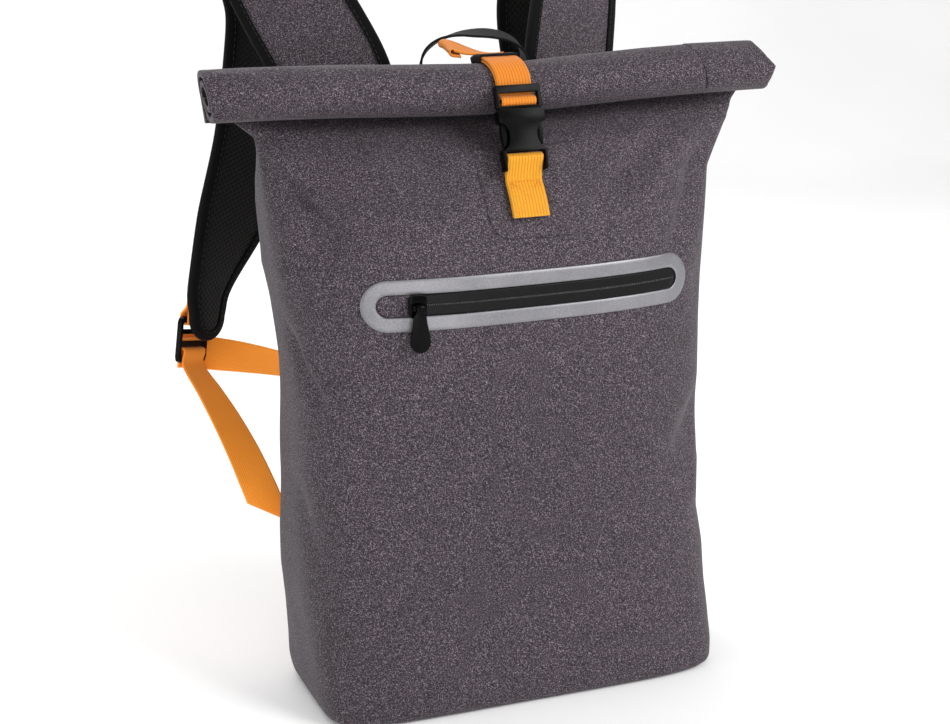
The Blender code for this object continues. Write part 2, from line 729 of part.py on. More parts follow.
# Zip slider and its puller
SLIDER_X = -SLIDER_ASIDE
HINGE_LIFT = 0.00275
HINGE_Z = ZIP_HEIGHT


def slider_back():
    lift = 0.6 * ZIP_THICK + 3 * FIT
    return front_face(SLIDER_X + SLIDER_WIDTH / 2, ZIP_HEIGHT) - lift


def hinge_line():
    return slider_back() - 0.0024 - HINGE_LIFT


def zip_slider(look):
    back = slider_back()
    face = back - 0.0024

    def place(a, b, c):
        return Vector((SLIDER_X + a, c, ZIP_HEIGHT + b))

    half = SLIDER_WIDTH / 2
    tall = SLIDER_LENGTH / 2
    loop = box_loop(-half, half, -tall, tall, 0.0028)
    body = plate("zip_slider", [loop], face, back, place, look)
    axis = hinge_line()
    lift = HINGE_Z - ZIP_HEIGHT
    for side in (-1, 1):
        near = side * 0.0031
        far = side * 0.0046
        post = plate(
            f"slider_post_{side}",
            [box_loop(min(near, far), max(near, far), lift - 0.0017, lift + 0.0017)],
            axis - 0.0014, face + 0.0006, place, None, True,
        )
        combine(body, post, "UNION")
    bar = rod("slider_bar", (SLIDER_X - 0.0038, axis, HINGE_Z), (SLIDER_X + 0.0038, axis, HINGE_Z), 0.00095, None, True)
    combine(body, bar, "UNION")
    settle(body)


def zip_puller(look):
    axis = hinge_line()

    def place(a, b, c):
        return Vector((SLIDER_X + a, axis + c, HINGE_Z + b))

    wide = PULLER_WIDTH / 2
    foot = -PULLER_LENGTH + 0.0015
    side = [(0.0026, 0.0), (0.0026, -0.0034), (0.60 * wide, -0.0050), (0.68 * wide, -0.0100), (0.92 * wide, foot + 1.65 * wide)]
    side += [(wide, foot + wide)]
    for k in range(1, 5):
        angle = math.radians(22.5 * k)
        side.append((wide * math.cos(angle), foot + wide - wide * math.sin(angle)))
    loop = side[:-1] + [(0.0, foot)] + [(-a, b) for a, b in side[:-1][::-1]]
    body = plate("zip_puller", [loop], -PULLER_THICK / 2, PULLER_THICK / 2, place, look)
    barrel = rod("puller_barrel", (SLIDER_X - 0.0026, axis, HINGE_Z), (SLIDER_X + 0.0026, axis, HINGE_Z), 0.0023, None, True, 16)
    combine(body, barrel, "UNION")
    bore = rod("puller_bore", (SLIDER_X - 0.006, axis, HINGE_Z), (SLIDER_X + 0.006, axis, HINGE_Z), 0.00135, None, True, 16)
    combine(body, bore, "DIFFERENCE")
    settle(body)


# Shoulder pads
def pad_line():
    """Frames along the left-hand pad, with its half width."""
    first = PAD_ROWS[0]
    root = back_face(first[0] * BODY_WIDTH, first[2] * NECK_HEIGHT) + YOKE_THICK + 10 * FIT + PAD_THICK / 2
    rows = []
    for a, b, c, d, e in PAD_ROWS:
        rows.append((-a * BODY_WIDTH, root + b * BODY_DEPTH, c * NECK_HEIGHT, d * PAD_WIDTH / 2, e))
    even = curve_through(rows, 22)
    frames = frames_of(even[:, :3], even[:, 4])
    return [(point, along, across, out, even[k, 3]) for k, (point, along, across, out) in enumerate(frames)]


def pad_layer(name, line, section, inset, look):
    """One layer of a pad. The section gives shares of the half width and heights in metres."""
    stations = [(point, across, out, half - inset) for point, _, across, out, half in line]
    point, along, across, out, half = line[-1]
    half -= inset
    for degrees in (22, 44, 64, 80):
        angle = math.radians(degrees)
        stations.append((point + along * half * math.sin(angle), across, out, half * math.cos(angle)))
    points = []
    for centre, across, out, half in stations:
        for share, height in section:
            points.append(centre + across * share * half + out * height)
    around = len(section)
    faces = []
    for a, b, c, d in ring_faces(len(stations), around):
        if section[a % around][0] <= section[b % around][0]:
            faces += [(a, b, c), (a, c, d)]
        else:
            faces += [(a, b, d), (b, c, d)]
    faces.append(tuple(range(around - 1, -1, -1)))
    faces.append(tuple(range((len(stations) - 1) * around, len(stations) * around)))
    return [on_side(name, points, faces, look, right) for right in (False, True)]


def pad_binding(line, look):
    """Bound edge down one side of the pad, round its tip and up the other."""
    wide = PAD_BINDING / 2
    deep = PAD_THICK / 2
    stations = [(point - across * (half - wide), across * -1, out) for point, _, across, out, half in line]
    point, along, across, out, half = line[-1]
    for degrees in range(165, 0, -15):
        angle = math.radians(degrees)
        away = across * math.cos(angle) + along * math.sin(angle)
        stations.append((point + away * (half - wide), away, out))
    stations += [(point + across * (half - wide), across, out) for point, _, across, out, half in line[::-1]]
    points = []
    for centre, away, out in stations:
        for a, b in ((-wide, -deep), (0.5 * wide, -deep), (wide, -0.45 * deep), (wide, 0.45 * deep), (0.5 * wide, deep), (-wide, deep)):
            points.append(centre + away * a + out * b)
    faces = ring_faces(len(stations), 6)
    faces.append(tuple(range(5, -1, -1)))
    faces.append(tuple(range((len(stations) - 1) * 6, len(stations) * 6)))
    return [on_side("pad_binding", points, faces, look, right) for right in (False, True)]


def shoulder_pads(grey, mesh, edge):
    line = pad_line()
    deep = PAD_THICK / 2
    inset = PAD_BINDING + 1.5 * FIT
    outer = ((-1, -0.12 * deep), (1, -0.12 * deep), (1, 0.72 * deep), (0.6, 0.97 * deep), (0, 1.06 * deep), (-0.6, 0.97 * deep), (-1, 0.72 * deep))
    inner = ((1, -0.12 * deep - FIT), (-1, -0.12 * deep - FIT), (-1, -0.8 * deep), (0, -1.02 * deep), (1, -0.8 * deep))
    pad_layer("strap_pad", line, outer, inset, grey)
    pad_layer("pad_mesh", line, inner, inset, mesh)
    pad_binding(line, edge)
    return line


# Ladder locks, loops and lower webbing
def lock_place(line):
    """Middle of the left-hand lock and its directions: across, along and out from the pad."""
    point, along, across, out, half = line[-1]
    lift = PAD_THICK / 2 + 3 * FIT + WEBBING_THICK + FIT + LOCK_THICK / 2
    centre = point + along * half - across * 0.004 + out * lift
    return centre, across, along, out


def ladder_locks(line, hard, orange):
    centre, across, along, out = lock_place(line)
    half = LOCK_LENGTH / 2
    slot = WEBBING / 2 + 0.0008
    loops = [box_loop(-LOCK_WIDTH / 2, LOCK_WIDTH / 2, -half, half, 0.004)]
    slots = ((-half + 0.0038, -half + 0.0092), (-half + 0.0128, -half + 0.0182), (-half + 0.0218, -half + 0.0282))
    loops += [box_loop(-slot, slot, low, high) for low, high in slots]
    for right in (False, True):
        mirror = -1 if right else 1

        def place(a, b, c):
            p = centre + across * a + along * b + out * c
            return Vector((p.x * mirror, p.y, p.z))

        name = "ladder_lock_right" if right else "ladder_lock_left"
        plate(name, loops, -LOCK_THICK / 2, LOCK_THICK / 2, place, hard)
    turn = LOCK_THICK / 2 + FIT + WEBBING_THICK / 2
    bar = -half + 0.0019
    over = -turn + WEBBING_THICK + FIT
    flat = [(bar - 0.022, -turn), (bar - 0.010, -turn), (bar + 0.7 * turn, -turn), (bar + turn, -0.7 * turn)]
    flat += [(bar + turn, 0.7 * turn), (bar + 0.7 * turn, turn), (bar - 0.0036, turn), (bar - 0.010, over), (bar - 0.022, over)]
    strap("lock_loop", [centre + along * b + out * c for b, c in flat], 0.9 * WEBBING, WEBBING_THICK, orange, across[:], True)
    return centre, across, along, out, turn


def lower_webbing(line, hard, orange):
    """Webbing from the lock's middle bar to the tab at the bag's lower corner."""
    centre, across, along, out, turn = ladder_locks(line, hard, orange)
    half = LOCK_LENGTH / 2
    bar = -half + 0.0200
    z = 0.283 * NECK_HEIGHT
    layers = 2 * FIT + WEBBING_THICK + FIT + WEBBING_THICK / 2
    end = Vector((-0.490 * BODY_WIDTH, back_face(0.43 * BODY_WIDTH, z) + layers + 0.0065, z))
    flat = [(bar - turn - 0.0001, -0.0010), (bar - turn, 0.7 * turn), (bar - 0.7 * turn, turn), (bar + 0.7 * turn, turn)]
    flat += [(bar + turn, 0.7 * turn), (bar + turn, -0.5 * turn), (bar + 1.7 * turn, -1.05 * turn), (half + 0.002, -1.05 * turn)]
    run = [centre + along * b + out * c for b, c in flat]
    sides = [across[:]] * len(run)
    leave = run[-1]
    for share in (0.2, 0.4, 0.6, 0.8, 1.0):
        run.append(leave.lerp(end, share) + Vector((0.004, 0.004, 0)) * math.sin(math.pi * share))
        sides.append(tuple(across.lerp(Vector((0.86, 0.0, 0.42)), share)))
    strap("lower_webbing", run, WEBBING, WEBBING_THICK, orange, sides, True, 0.6)
    lift = out * (turn + WEBBING_THICK + FIT)
    tail = [centre + across * a + along * b + lift for a, b in ((-0.007, 0.009), (0.004, 0.009), (0.016, 0.010), (0.025, 0.011))]
    first = tail[-1]
    far = Vector((-0.365 * BODY_WIDTH, first.y - 0.034, first.z - 0.008))
    tail += [first.lerp(far, share) - Vector((0, -0.004 * math.sin(math.pi * share), 0)) for share in (0.33, 0.66, 1.0)]
    low = Vector((0.0, -0.62, 0.78))
    sides = [tuple((-along).lerp(low, max(0.0, (k - 3) / 3))) for k in range(7)]
    strap("webbing_tail", tail, WEBBING, WEBBING_THICK, orange, sides, True)


def anchor_tabs(look):
    z = 0.275 * NECK_HEIGHT
    tall = 0.42 * WEBBING
    rows = [(z - tall, 0, 0), (z, 0, 0), (z + tall, 0, 0)]
    for right in (False, True):
        ends = (0.36 * BODY_WIDTH, 0.468 * BODY_WIDTH)
        low, high = ends if right else (-ends[1], -ends[0])
        name = "anchor_tab_right" if right else "anchor_tab_left"
        sheet(name, [(row[0], low, high) for row in rows], 5, 2 * FIT, WEBBING_THICK, look, behind=True)


def yoke(look):
    """Plain panel on the back that carries the pads and the haul loop."""
    rows = [(share * NECK_HEIGHT, -0.41 * BODY_WIDTH, 0.41 * BODY_WIDTH) for share in (0.85, 0.885, 0.91, 0.93)]
    return sheet("strap_yoke", rows, 15, 3 * FIT, YOKE_THICK, look, behind=True)


def haul_loop(look):
    """Webbing arch behind the roll, flat side up, with its feet on the back of the neck."""
    half = HAUL_SPAN / 2
    front = HAUL_BACK - HAUL_WIDTH / 2
    low, high = 0.8 * NECK_HEIGHT, NECK_HEIGHT
    for _ in range(30):
        middle = (low + high) / 2
        if back_face(0.88 * half, middle) > front - FIT:
            low = middle
        else:
            high = middle
    foot = high + 2 * FIT
    line = []
    shape = ((-0.88, 0), (-0.93, 0.25), (-0.98, 0.5), (-1.0, 0.7), (-0.9, 0.84), (-0.66, 0.94), (-0.33, 0.99), (0, 1))
    for a, b in shape + tuple((-a, b) for a, b in shape[-2::-1]):
        line.append((a * half, HAUL_BACK, foot + b * (HAUL_HEAD - foot)))
    return strap("haul_loop", line, HAUL_WIDTH, WEBBING_THICK, look, side=(0, 1, 0))


# Named parts, built in order
def build():
    clear_scene()
    grey = material("coated_fabric", GREY, 0.8)
    orange = material("orange_webbing", ORANGE, 0.75)
    hard = material("black_plastic", BLACK, 0.4)
    silver = material("reflective_film", (0.42, 0.42, 0.42), 0.45)
    tape = material("zip_tape", (0.014, 0.014, 0.014), 0.7)
    coil = material("zip_coil", (0.02, 0.02, 0.02), 0.4)
    body_shell(grey)
    roll_top(grey)
    buckle_patch(grey)
    zip_frame(silver)
    zip_cloth(grey, tape, coil)
    buckle_male(hard)
    buckle_female(hard)
    tongue(orange)
    closure_strap(orange)
    edge = material("black_webbing", BLACK, 0.8)
    strap_keeper(edge)
    closure_tail(orange)
    shiny = material("black_enamel", BLACK, 0.2)
    zip_slider(shiny)
    zip_puller(shiny)
    line = shoulder_pads(grey, material("black_mesh", (0.005, 0.005, 0.005), 0.95), edge)
    lower_webbing(line, hard, orange)
    anchor_tabs(orange)
    yoke(grey)
    haul_loop(edge)


build()
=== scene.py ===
import math

import bmesh
import bpy
import numpy as np
from mathutils import Matrix, Vector, noise


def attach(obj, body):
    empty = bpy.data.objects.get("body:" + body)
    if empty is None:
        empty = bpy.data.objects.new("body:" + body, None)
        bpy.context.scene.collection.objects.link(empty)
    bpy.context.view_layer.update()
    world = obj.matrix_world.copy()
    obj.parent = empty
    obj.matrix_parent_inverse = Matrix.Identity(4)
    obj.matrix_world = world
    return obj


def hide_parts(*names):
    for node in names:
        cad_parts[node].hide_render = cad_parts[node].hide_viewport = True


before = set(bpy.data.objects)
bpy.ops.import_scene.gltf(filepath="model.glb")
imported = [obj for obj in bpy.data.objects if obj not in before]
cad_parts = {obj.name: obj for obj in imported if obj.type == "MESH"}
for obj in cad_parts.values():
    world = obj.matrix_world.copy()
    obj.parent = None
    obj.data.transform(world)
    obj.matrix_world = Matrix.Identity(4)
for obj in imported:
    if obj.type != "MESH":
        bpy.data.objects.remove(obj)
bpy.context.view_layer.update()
print("frame loaded")


def newObject(name, data):
    made = bpy.data.objects.new(name, data)
    bpy.context.scene.collection.objects.link(made)
    return made


# Camera at the photograph's angle: from the left, a little above
camera = {
    "eye": (-0.43388, -1.15182, 0.55784),
    "azimuth": 20.0,
    "elevation": 15.0,
    "roll": -1.022,
    "lens": 69.8,  # mm
    "sensor": 36,  # mm
}


def placeCamera():
    a, e, r = (math.radians(camera[key]) for key in ("azimuth", "elevation", "roll"))
    right = Vector((math.cos(a), -math.sin(a), 0))
    up = Vector((math.sin(a) * math.sin(e), math.cos(a) * math.sin(e), math.cos(e)))
    ahead = Vector((math.sin(a) * math.cos(e), math.cos(a) * math.cos(e), -math.sin(e)))
    across = right * math.cos(r) + up * math.sin(r)
    upward = up * math.cos(r) - right * math.sin(r)
    data = bpy.data.cameras.new("photoCamera")
    data.lens = camera["lens"]
    data.sensor_width = camera["sensor"]
    data.sensor_fit = "HORIZONTAL"
    data.clip_start = 0.05
    made = newObject("photoCamera", data)
    turn = Matrix((across, upward, -ahead)).transposed().to_4x4()
    made.matrix_world = Matrix.Translation(camera["eye"]) @ turn
    bpy.context.scene.camera = made


placeCamera()


# Colours and nodes
def linear(hexText):
    values = [int(hexText[k : k + 2], 16) / 255 for k in (0, 2, 4)]
    return tuple(v / 12.92 if v <= 0.04045 else ((v + 0.055) / 1.055) ** 2.4 for v in values) + (1.0,)


def addNode(tree, kind, settings=None, links=None, into=None):
    # A link comes from a socket or a node's first output; into is the socket that this node feeds
    node = tree.nodes.new(kind)
    for key, value in (settings or {}).items():
        if key == "stops":
            while len(node.color_ramp.elements) < len(value):
                node.color_ramp.elements.new(0.5)
            for element, (at, hexText) in zip(node.color_ramp.elements, value):
                element.position = at
                element.color = linear(hexText)
        elif isinstance(key, str) and hasattr(node, key):
            setattr(node, key, value)
        else:
            node.inputs[key].default_value = value
    for key, source in (links or {}).items():
        tree.links.new(source.outputs[0] if hasattr(source, "outputs") else source, node.inputs[key])
    if into is not None:
        tree.links.new(node.outputs[0], into)
    return node


def newLook(name, colour, roughness, settings):
    look = bpy.data.materials.new(name)
    look.use_nodes = True
    sockets = look.node_tree.nodes["Principled BSDF"].inputs
    for key, value in {"Base Color": linear(colour), "Roughness": roughness, **settings}.items():
        sockets[key].default_value = value
    return look, look.node_tree, sockets


def perMetre(size):
    # How often a pattern comes in a metre, from its real size in mm
    return 1000 / size


fabric = {
    "yarns": ((0.41, "0a070a"), (0.467, "1f171e"), (0.525, "393037"), (0.60, "81767e")),
    "drift": ((0.3, "8f8a8e"), (0.7, "ffffff")),
    "fleckWide": 0.5,  # mm
    "fleckLong": 1.5,  # mm
    "fluff": 0.5263,  # mm
    "clouds": 142.9,  # mm
    "roughness": 0.74,
}


def coatedPolyester():
    # Polyester woven from dark and light yarns, with a thin film behind: matt, with short flecks both ways.
    # Real yarns are about 0.4 mm; the flecks are drawn 0.5 mm wide so that they show.
    look, tree, sockets = newLook(
        "coatedPolyester", "50484f", fabric["roughness"], {"Specular IOR Level": 0.32, "Sheen Weight": 0.06},
    )
    place = addNode(tree, "ShaderNodeTexCoord").outputs["Object"]
    thin, long = fabric["fleckWide"] / 1000, fabric["fleckLong"] / 1000
    flecks = []
    # size, tilt, detail and roughness of the warp, then of the weft
    for size, tilt, detail, rough in (((thin, thin, long), -0.4, 2.0, 0.65), ((long, long, thin), 0.3, 1.5, 0.6)):
        space = addNode(
            tree, "ShaderNodeMapping", {"vector_type": "TEXTURE", "Scale": size, "Rotation": (0, tilt, 0)},
            {"Vector": place},
        )
        flecks.append(addNode(
            tree, "ShaderNodeTexNoise", {"Scale": 1.0, "Detail": detail, "Roughness": rough}, {"Vector": space},
        ))
    both = addNode(tree, "ShaderNodeMix", {0: 0.42}, {2: flecks[0], 3: flecks[1]})
    size = perMetre(fabric["fluff"])
    fluff = addNode(tree, "ShaderNodeTexNoise", {"Scale": size, "Detail": 1.0}, {"Vector": place})
    weave = addNode(tree, "ShaderNodeMix", {0: 0.36}, {2: both, 3: fluff})
    tone = addNode(tree, "ShaderNodeValToRGB", {"stops": fabric["yarns"]}, {"Fac": weave})
    size = perMetre(fabric["clouds"])
    cloud = addNode(tree, "ShaderNodeTexNoise", {"Scale": size, "Detail": 2.0}, {"Vector": place})
    drift = addNode(tree, "ShaderNodeValToRGB", {"stops": fabric["drift"]}, {"Fac": cloud})
    colour = addNode(
        tree, "ShaderNodeMix", {"data_type": "RGBA", "blend_type": "MULTIPLY", 0: 0.22}, {6: tone, 7: drift},
    )
    tree.links.new(colour.outputs[2], sockets["Base Color"])
    addNode(tree, "ShaderNodeBump", {"Strength": 0.45, "Distance": 0.00045}, {"Height": weave}, sockets["Normal"])
    return look


def wovenWebbing(name, grooveShade, ridge, rib, pick, roughness, depth, shine=0.3):
    # Polyester webbing, woven flat with warp ribs along it: soft sheen, with painted shade darkening the grooves
    # between the ribs.
    # Ribs and picks are in mm, from the strap's own across and along.
    look, tree, sockets = newLook(name, ridge, roughness, {"Specular IOR Level": shine, "Sheen Weight": shine / 3})
    cloth = addNode(tree, "ShaderNodeUVMap", {"uv_map": "cloth"})
    parts = addNode(tree, "ShaderNodeSeparateXYZ", {}, {"Vector": cloth})
    across = addNode(tree, "ShaderNodeMath", {"operation": "MULTIPLY", 1: 2 * math.pi * perMetre(rib)}, {0: parts})
    ribs = addNode(tree, "ShaderNodeMath", {"operation": "SINE"}, {0: across})
    shift = addNode(tree, "ShaderNodeMath", {"operation": "MULTIPLY", 1: 1.6}, {0: ribs})
    along = addNode(
        tree, "ShaderNodeMath", {"operation": "MULTIPLY_ADD", 1: 2 * math.pi * perMetre(pick)},
        {0: parts.outputs["Y"], 2: shift},
    )
    picks = addNode(tree, "ShaderNodeMath", {"operation": "SINE"}, {0: along})
    high = addNode(tree, "ShaderNodeMath", {"operation": "MULTIPLY_ADD", 1: 0.34, 2: 0.5}, {0: ribs})
    height = addNode(tree, "ShaderNodeMath", {"operation": "MULTIPLY_ADD", 1: 0.13}, {0: picks, 2: high})
    place = addNode(tree, "ShaderNodeTexCoord").outputs["Object"]
    fuzz = addNode(tree, "ShaderNodeTexNoise", {"Scale": perMetre(1.111), "Detail": 2.0}, {"Vector": place})
    grooveShadeAndFuzz = addNode(tree, "ShaderNodeMix", {0: 0.25}, {2: height, 3: fuzz})
    # groove colour: painted shade where the ribs dip; ridge colour: the webbing's own
    stops = ((0.12, grooveShade), (0.52, ridge))
    addNode(tree, "ShaderNodeValToRGB", {"stops": stops}, {"Fac": grooveShadeAndFuzz}, sockets["Base Color"])
    addNode(tree, "ShaderNodeBump", {"Strength": 0.6, "Distance": depth}, {"Height": grooveShadeAndFuzz}, sockets["Normal"])
    return look


def mouldedAcetal():
    # Acetal, injection moulded in a fine spark-eroded tool: near black, satin, with soft bright edges.
    look, tree, sockets = newLook("mouldedAcetal", "040405", 0.28, {"Specular IOR Level": 0.06})
    place = addNode(tree, "ShaderNodeTexCoord").outputs["Object"]
    spark = addNode(tree, "ShaderNodeTexNoise", {"Scale": perMetre(0.3846), "Detail": 2.0}, {"Vector": place})
    rub = addNode(tree, "ShaderNodeTexNoise", {"Scale": perMetre(6.25), "Detail": 3.0}, {"Vector": place})
    stops = ((0.3, "040404"), (0.75, "09090a"))
    addNode(tree, "ShaderNodeValToRGB", {"stops": stops}, {"Fac": rub}, sockets["Base Color"])
    addNode(tree, "ShaderNodeMapRange", {"To Min": 0.24, "To Max": 0.38}, {"Value": rub}, sockets["Roughness"])
    addNode(tree, "ShaderNodeBump", {"Strength": 0.12, "Distance": 0.0002}, {"Height": spark}, sockets["Normal"])
    return look


def enamelledZinc():
    # Zinc alloy, die cast and stove enamelled: glossy black with a slight orange-peel ripple.
    look, tree, sockets = newLook(
        "enamelledZinc", "010101", 0.12, {"Specular IOR Level": 0.07, "Coat Weight": 0.02, "Coat Roughness": 0.05},
    )
    place = addNode(tree, "ShaderNodeTexCoord").outputs["Object"]
    peel = addNode(tree, "ShaderNodeTexNoise", {"Scale": perMetre(2.381), "Detail": 1.0}, {"Vector": place})
    scuff = addNode(tree, "ShaderNodeTexNoise", {"Scale": perMetre(0.7692), "Detail": 3.0}, {"Vector": place})
    addNode(tree, "ShaderNodeMapRange", {"To Min": 0.10, "To Max": 0.24}, {"Value": scuff}, sockets["Roughness"])
    addNode(tree, "ShaderNodeBump", {"Strength": 0.08, "Distance": 0.0003}, {"Height": peel}, sockets["Normal"])
    return look


def glassBeadFilm():
    # Retroreflective film, glass beads on aluminium, heat pressed: silver grey and fine grained.
    # Real beads are 0.05 mm; they are drawn 0.67 mm so that they show.
    look, tree, sockets = newLook("glassBeadFilm", "a5a4a8", 0.42, {"Metallic": 0.7, "Specular IOR Level": 0.4})
    place = addNode(tree, "ShaderNodeTexCoord").outputs["Object"]
    beads = addNode(
        tree, "ShaderNodeTexNoise", {"Scale": perMetre(0.6667), "Detail": 2.0, "Roughness": 0.7}, {"Vector": place},
    )
    cloud = addNode(tree, "ShaderNodeTexNoise", {"Scale": perMetre(33.33), "Detail": 2.0}, {"Vector": place})
    mixed = addNode(tree, "ShaderNodeMix", {0: 0.35}, {2: beads, 3: cloud})
    stops = ((0.32, "67666a"), (0.68, "8e8d91"))
    addNode(tree, "ShaderNodeValToRGB", {"stops": stops}, {"Fac": mixed}, sockets["Base Color"])
    addNode(tree, "ShaderNodeBump", {"Strength": 0.12, "Distance": 0.0002}, {"Height": beads}, sockets["Normal"])
    return look


def coatedZipTape():
    # Polyester zip tape under a smooth polyurethane film: charcoal, satin, with faint cross ribs 0.9 mm apart.
    look, tree, sockets = newLook("coatedZipTape", "080808", 0.40, {"Specular IOR Level": 0.13})
    place = addNode(tree, "ShaderNodeTexCoord").outputs["Object"]
    parts = addNode(tree, "ShaderNodeSeparateXYZ", {}, {"Vector": place})
    fine = addNode(tree, "ShaderNodeMath", {"operation": "MULTIPLY", 1: 2 * math.pi * perMetre(0.9)}, {0: parts})
    ribs = addNode(tree, "ShaderNodeMath", {"operation": "SINE"}, {0: fine})
    dust = addNode(tree, "ShaderNodeTexNoise", {"Scale": perMetre(3.846), "Detail": 3.0}, {"Vector": place})
    stops = ((0.3, "080808"), (0.7, "0e0e0e"))
    addNode(tree, "ShaderNodeValToRGB", {"stops": stops}, {"Fac": dust}, sockets["Base Color"])
    addNode(tree, "ShaderNodeBump", {"Strength": 0.1, "Distance": 0.00015}, {"Height": ribs}, sockets["Normal"])
    return look


def spacerMesh():
    # Knitted polyester spacer mesh: deep black, matt, with open cells about 3 mm apart; the cells' middles are
    # painted darker, as painted shade in the holes.
    look, tree, sockets = newLook("spacerMesh", "0b0a0a", 0.9, {"Specular IOR Level": 0.2, "Sheen Weight": 0.08})
    cloth = addNode(tree, "ShaderNodeUVMap", {"uv_map": "cloth"})
    apart = perMetre(3.003)
    turned = addNode(
        tree, "ShaderNodeMapping", {"Rotation": (0, 0, 0.785), "Scale": (apart, apart, 1.0)}, {"Vector": cloth},
    )
    cells = addNode(tree, "ShaderNodeTexVoronoi", {"Scale": 1.0, "Randomness": 0.12}, {"Vector": turned})
    # cell middles: painted shade in the open holes; cell walls: the mesh's own black
    stops = ((0.22, "030303"), (0.50, "171615"))
    addNode(tree, "ShaderNodeValToRGB", {"stops": stops}, {"Fac": cells}, sockets["Base Color"])
    addNode(tree, "ShaderNodeBump", {"Strength": 0.7, "Distance": 0.0008}, {"Height": cells}, sockets["Normal"])
    return look


def spunPolymer(name, dark, light, size, roughness, shine):
    # Drawn or twisted polymer yarn: even colour, broken by its own filaments, whose size is in mm.
    look, tree, sockets = newLook(name, light, roughness, {"Specular IOR Level": shine})
    place = addNode(tree, "ShaderNodeTexCoord").outputs["Object"]
    draw = addNode(tree, "ShaderNodeTexNoise", {"Scale": perMetre(size), "Detail": 1.0}, {"Vector": place})
    stops = ((0.35, dark), (0.65, light))
    addNode(tree, "ShaderNodeValToRGB", {"stops": stops}, {"Fac": draw}, sockets["Base Color"])
    return look


looks = {
    "fabric": coatedPolyester(),
    # each webbing's first colour is painted shade for its grooves, the second its own colour
    "orange": wovenWebbing("wovenWebbingOrange", "b25d0c", "d27b17", 2.1, 1.1, 0.7, 0.0006),
    "tongue": wovenWebbing("wovenWebbingTongue", "b26e0c", "d29117", 2.1, 1.1, 0.7, 0.0006),
    # lower webbing, lock loops, webbing tails and anchor tabs: the same orange webbing painted much lighter, as
    # painted light for the lamp light that the bag's shaded left side and back don't get
    "lower": wovenWebbing("wovenWebbingLowerPaintedLight", "fc7e18", "ffa030", 1.5, 1.0, 0.75, 0.0003),
    "black": wovenWebbing("wovenWebbingBlack", "040404", "111111", 1.8, 1.1, 0.75, 0.0004, 0.12),
    "binding": wovenWebbing("bindingTape", "040404", "0d0c0c", 1.2, 0.9, 0.8, 0.0003, 0.08),
    "acetal": mouldedAcetal(),
    "enamel": enamelledZinc(),
    "film": glassBeadFilm(),
    "tape": coatedZipTape(),
    "mesh": spacerMesh(),
    # nylon monofilament, heat set into a coil: dark grey, with small bright points along the zip
    "nylon": spunPolymer("drawnNylon", "2c2c2c", "5a5a5a", 0.9091, 0.3, 0.5),
    # bonded polyester thread, three-ply: short raised stitches with a twist
    "orangeThread": spunPolymer("bondedThreadOrange", "c0700f", "e8922a", 0.4, 0.6, 0.35),
    "blackThread": spunPolymer("bondedThreadBlack", "0a0a0a", "262626", 0.4, 0.6, 0.35),
}
print("materials made:", len(looks))


# Making pieces
def finishMesh(mesh, sharpness=42):
    work = bmesh.new()
    work.from_mesh(mesh)
    bmesh.ops.recalc_face_normals(work, faces=work.faces)
    if work.calc_volume(signed=True) < 0:
        bmesh.ops.reverse_faces(work, faces=work.faces)
    for face in work.faces:
        face.smooth = True
    for edge in work.edges:
        if len(edge.link_faces) == 2 and edge.calc_face_angle() > math.radians(sharpness):
            edge.smooth = False
    work.to_mesh(mesh)
    work.free()


def addPiece(name, points, faces, look, slot, replaces=(), uv=None, body="bag", sharpness=42):
    mesh = bpy.data.meshes.new(name)
    mesh.from_pydata([tuple(map(float, p)) for p in points], [], faces)
    if uv is not None:
        layer = mesh.uv_layers.new(name="cloth")
        corners = np.empty(len(mesh.loops), np.int32)
        mesh.loops.foreach_get("vertex_index", corners)
        layer.data.foreach_set("uv", np.array(uv, np.float32)[corners].ravel())
    finishMesh(mesh, sharpness)
    made = newObject(name, mesh)
    mesh.materials.append(looks[look])
    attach(made, body)
    if replaces:
        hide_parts(*replaces)
    return made


def addPair(name, points, faces, look, slot, replaces=(), uv=None, sharpness=42):
    # The left-hand piece and its mirror image
    pair = []
    for word, sign in (("Left", 1), ("Right", -1)):
        turned = [(sign * p[0], p[1], p[2]) for p in points]
        nodes = [node + "_" + word.lower() for node in replaces]
        pair.append(addPiece(name + word, turned, faces, look, slot, nodes, uv, sharpness=sharpness))
    return pair


def ringFaces(rings, around, capped=False):
    faces = []
    for row in range(rings - 1):
        a = row * around
        for k in range(around):
            n = (k + 1) % around
            faces.append((a + k, a + n, a + around + n, a + around + k))
    if capped:
        last = (rings - 1) * around
        faces += [tuple(range(around - 1, -1, -1)), tuple(range(last, last + around))]
    return faces


def sheetFaces(rows, columns):
    # Two layers of rows of points, joined round their rim
    count = rows * columns
    faces = []
    for r in range(rows - 1):
        for c in range(columns - 1):
            a = r * columns + c
            faces.append((a, a + 1, a + columns + 1, a + columns))
            faces.append((count + a, count + a + columns, count + a + columns + 1, count + a + 1))
    rim = list(range(columns)) + [r * columns + columns - 1 for r in range(1, rows)]
    rim += [(rows - 1) * columns + c for c in range(columns - 2, -1, -1)]
    rim += [r * columns for r in range(rows - 2, 0, -1)]
    for a, b in zip(rim, rim[1:] + rim[:1]):
        faces.append((a, b, count + b, count + a))
    return faces


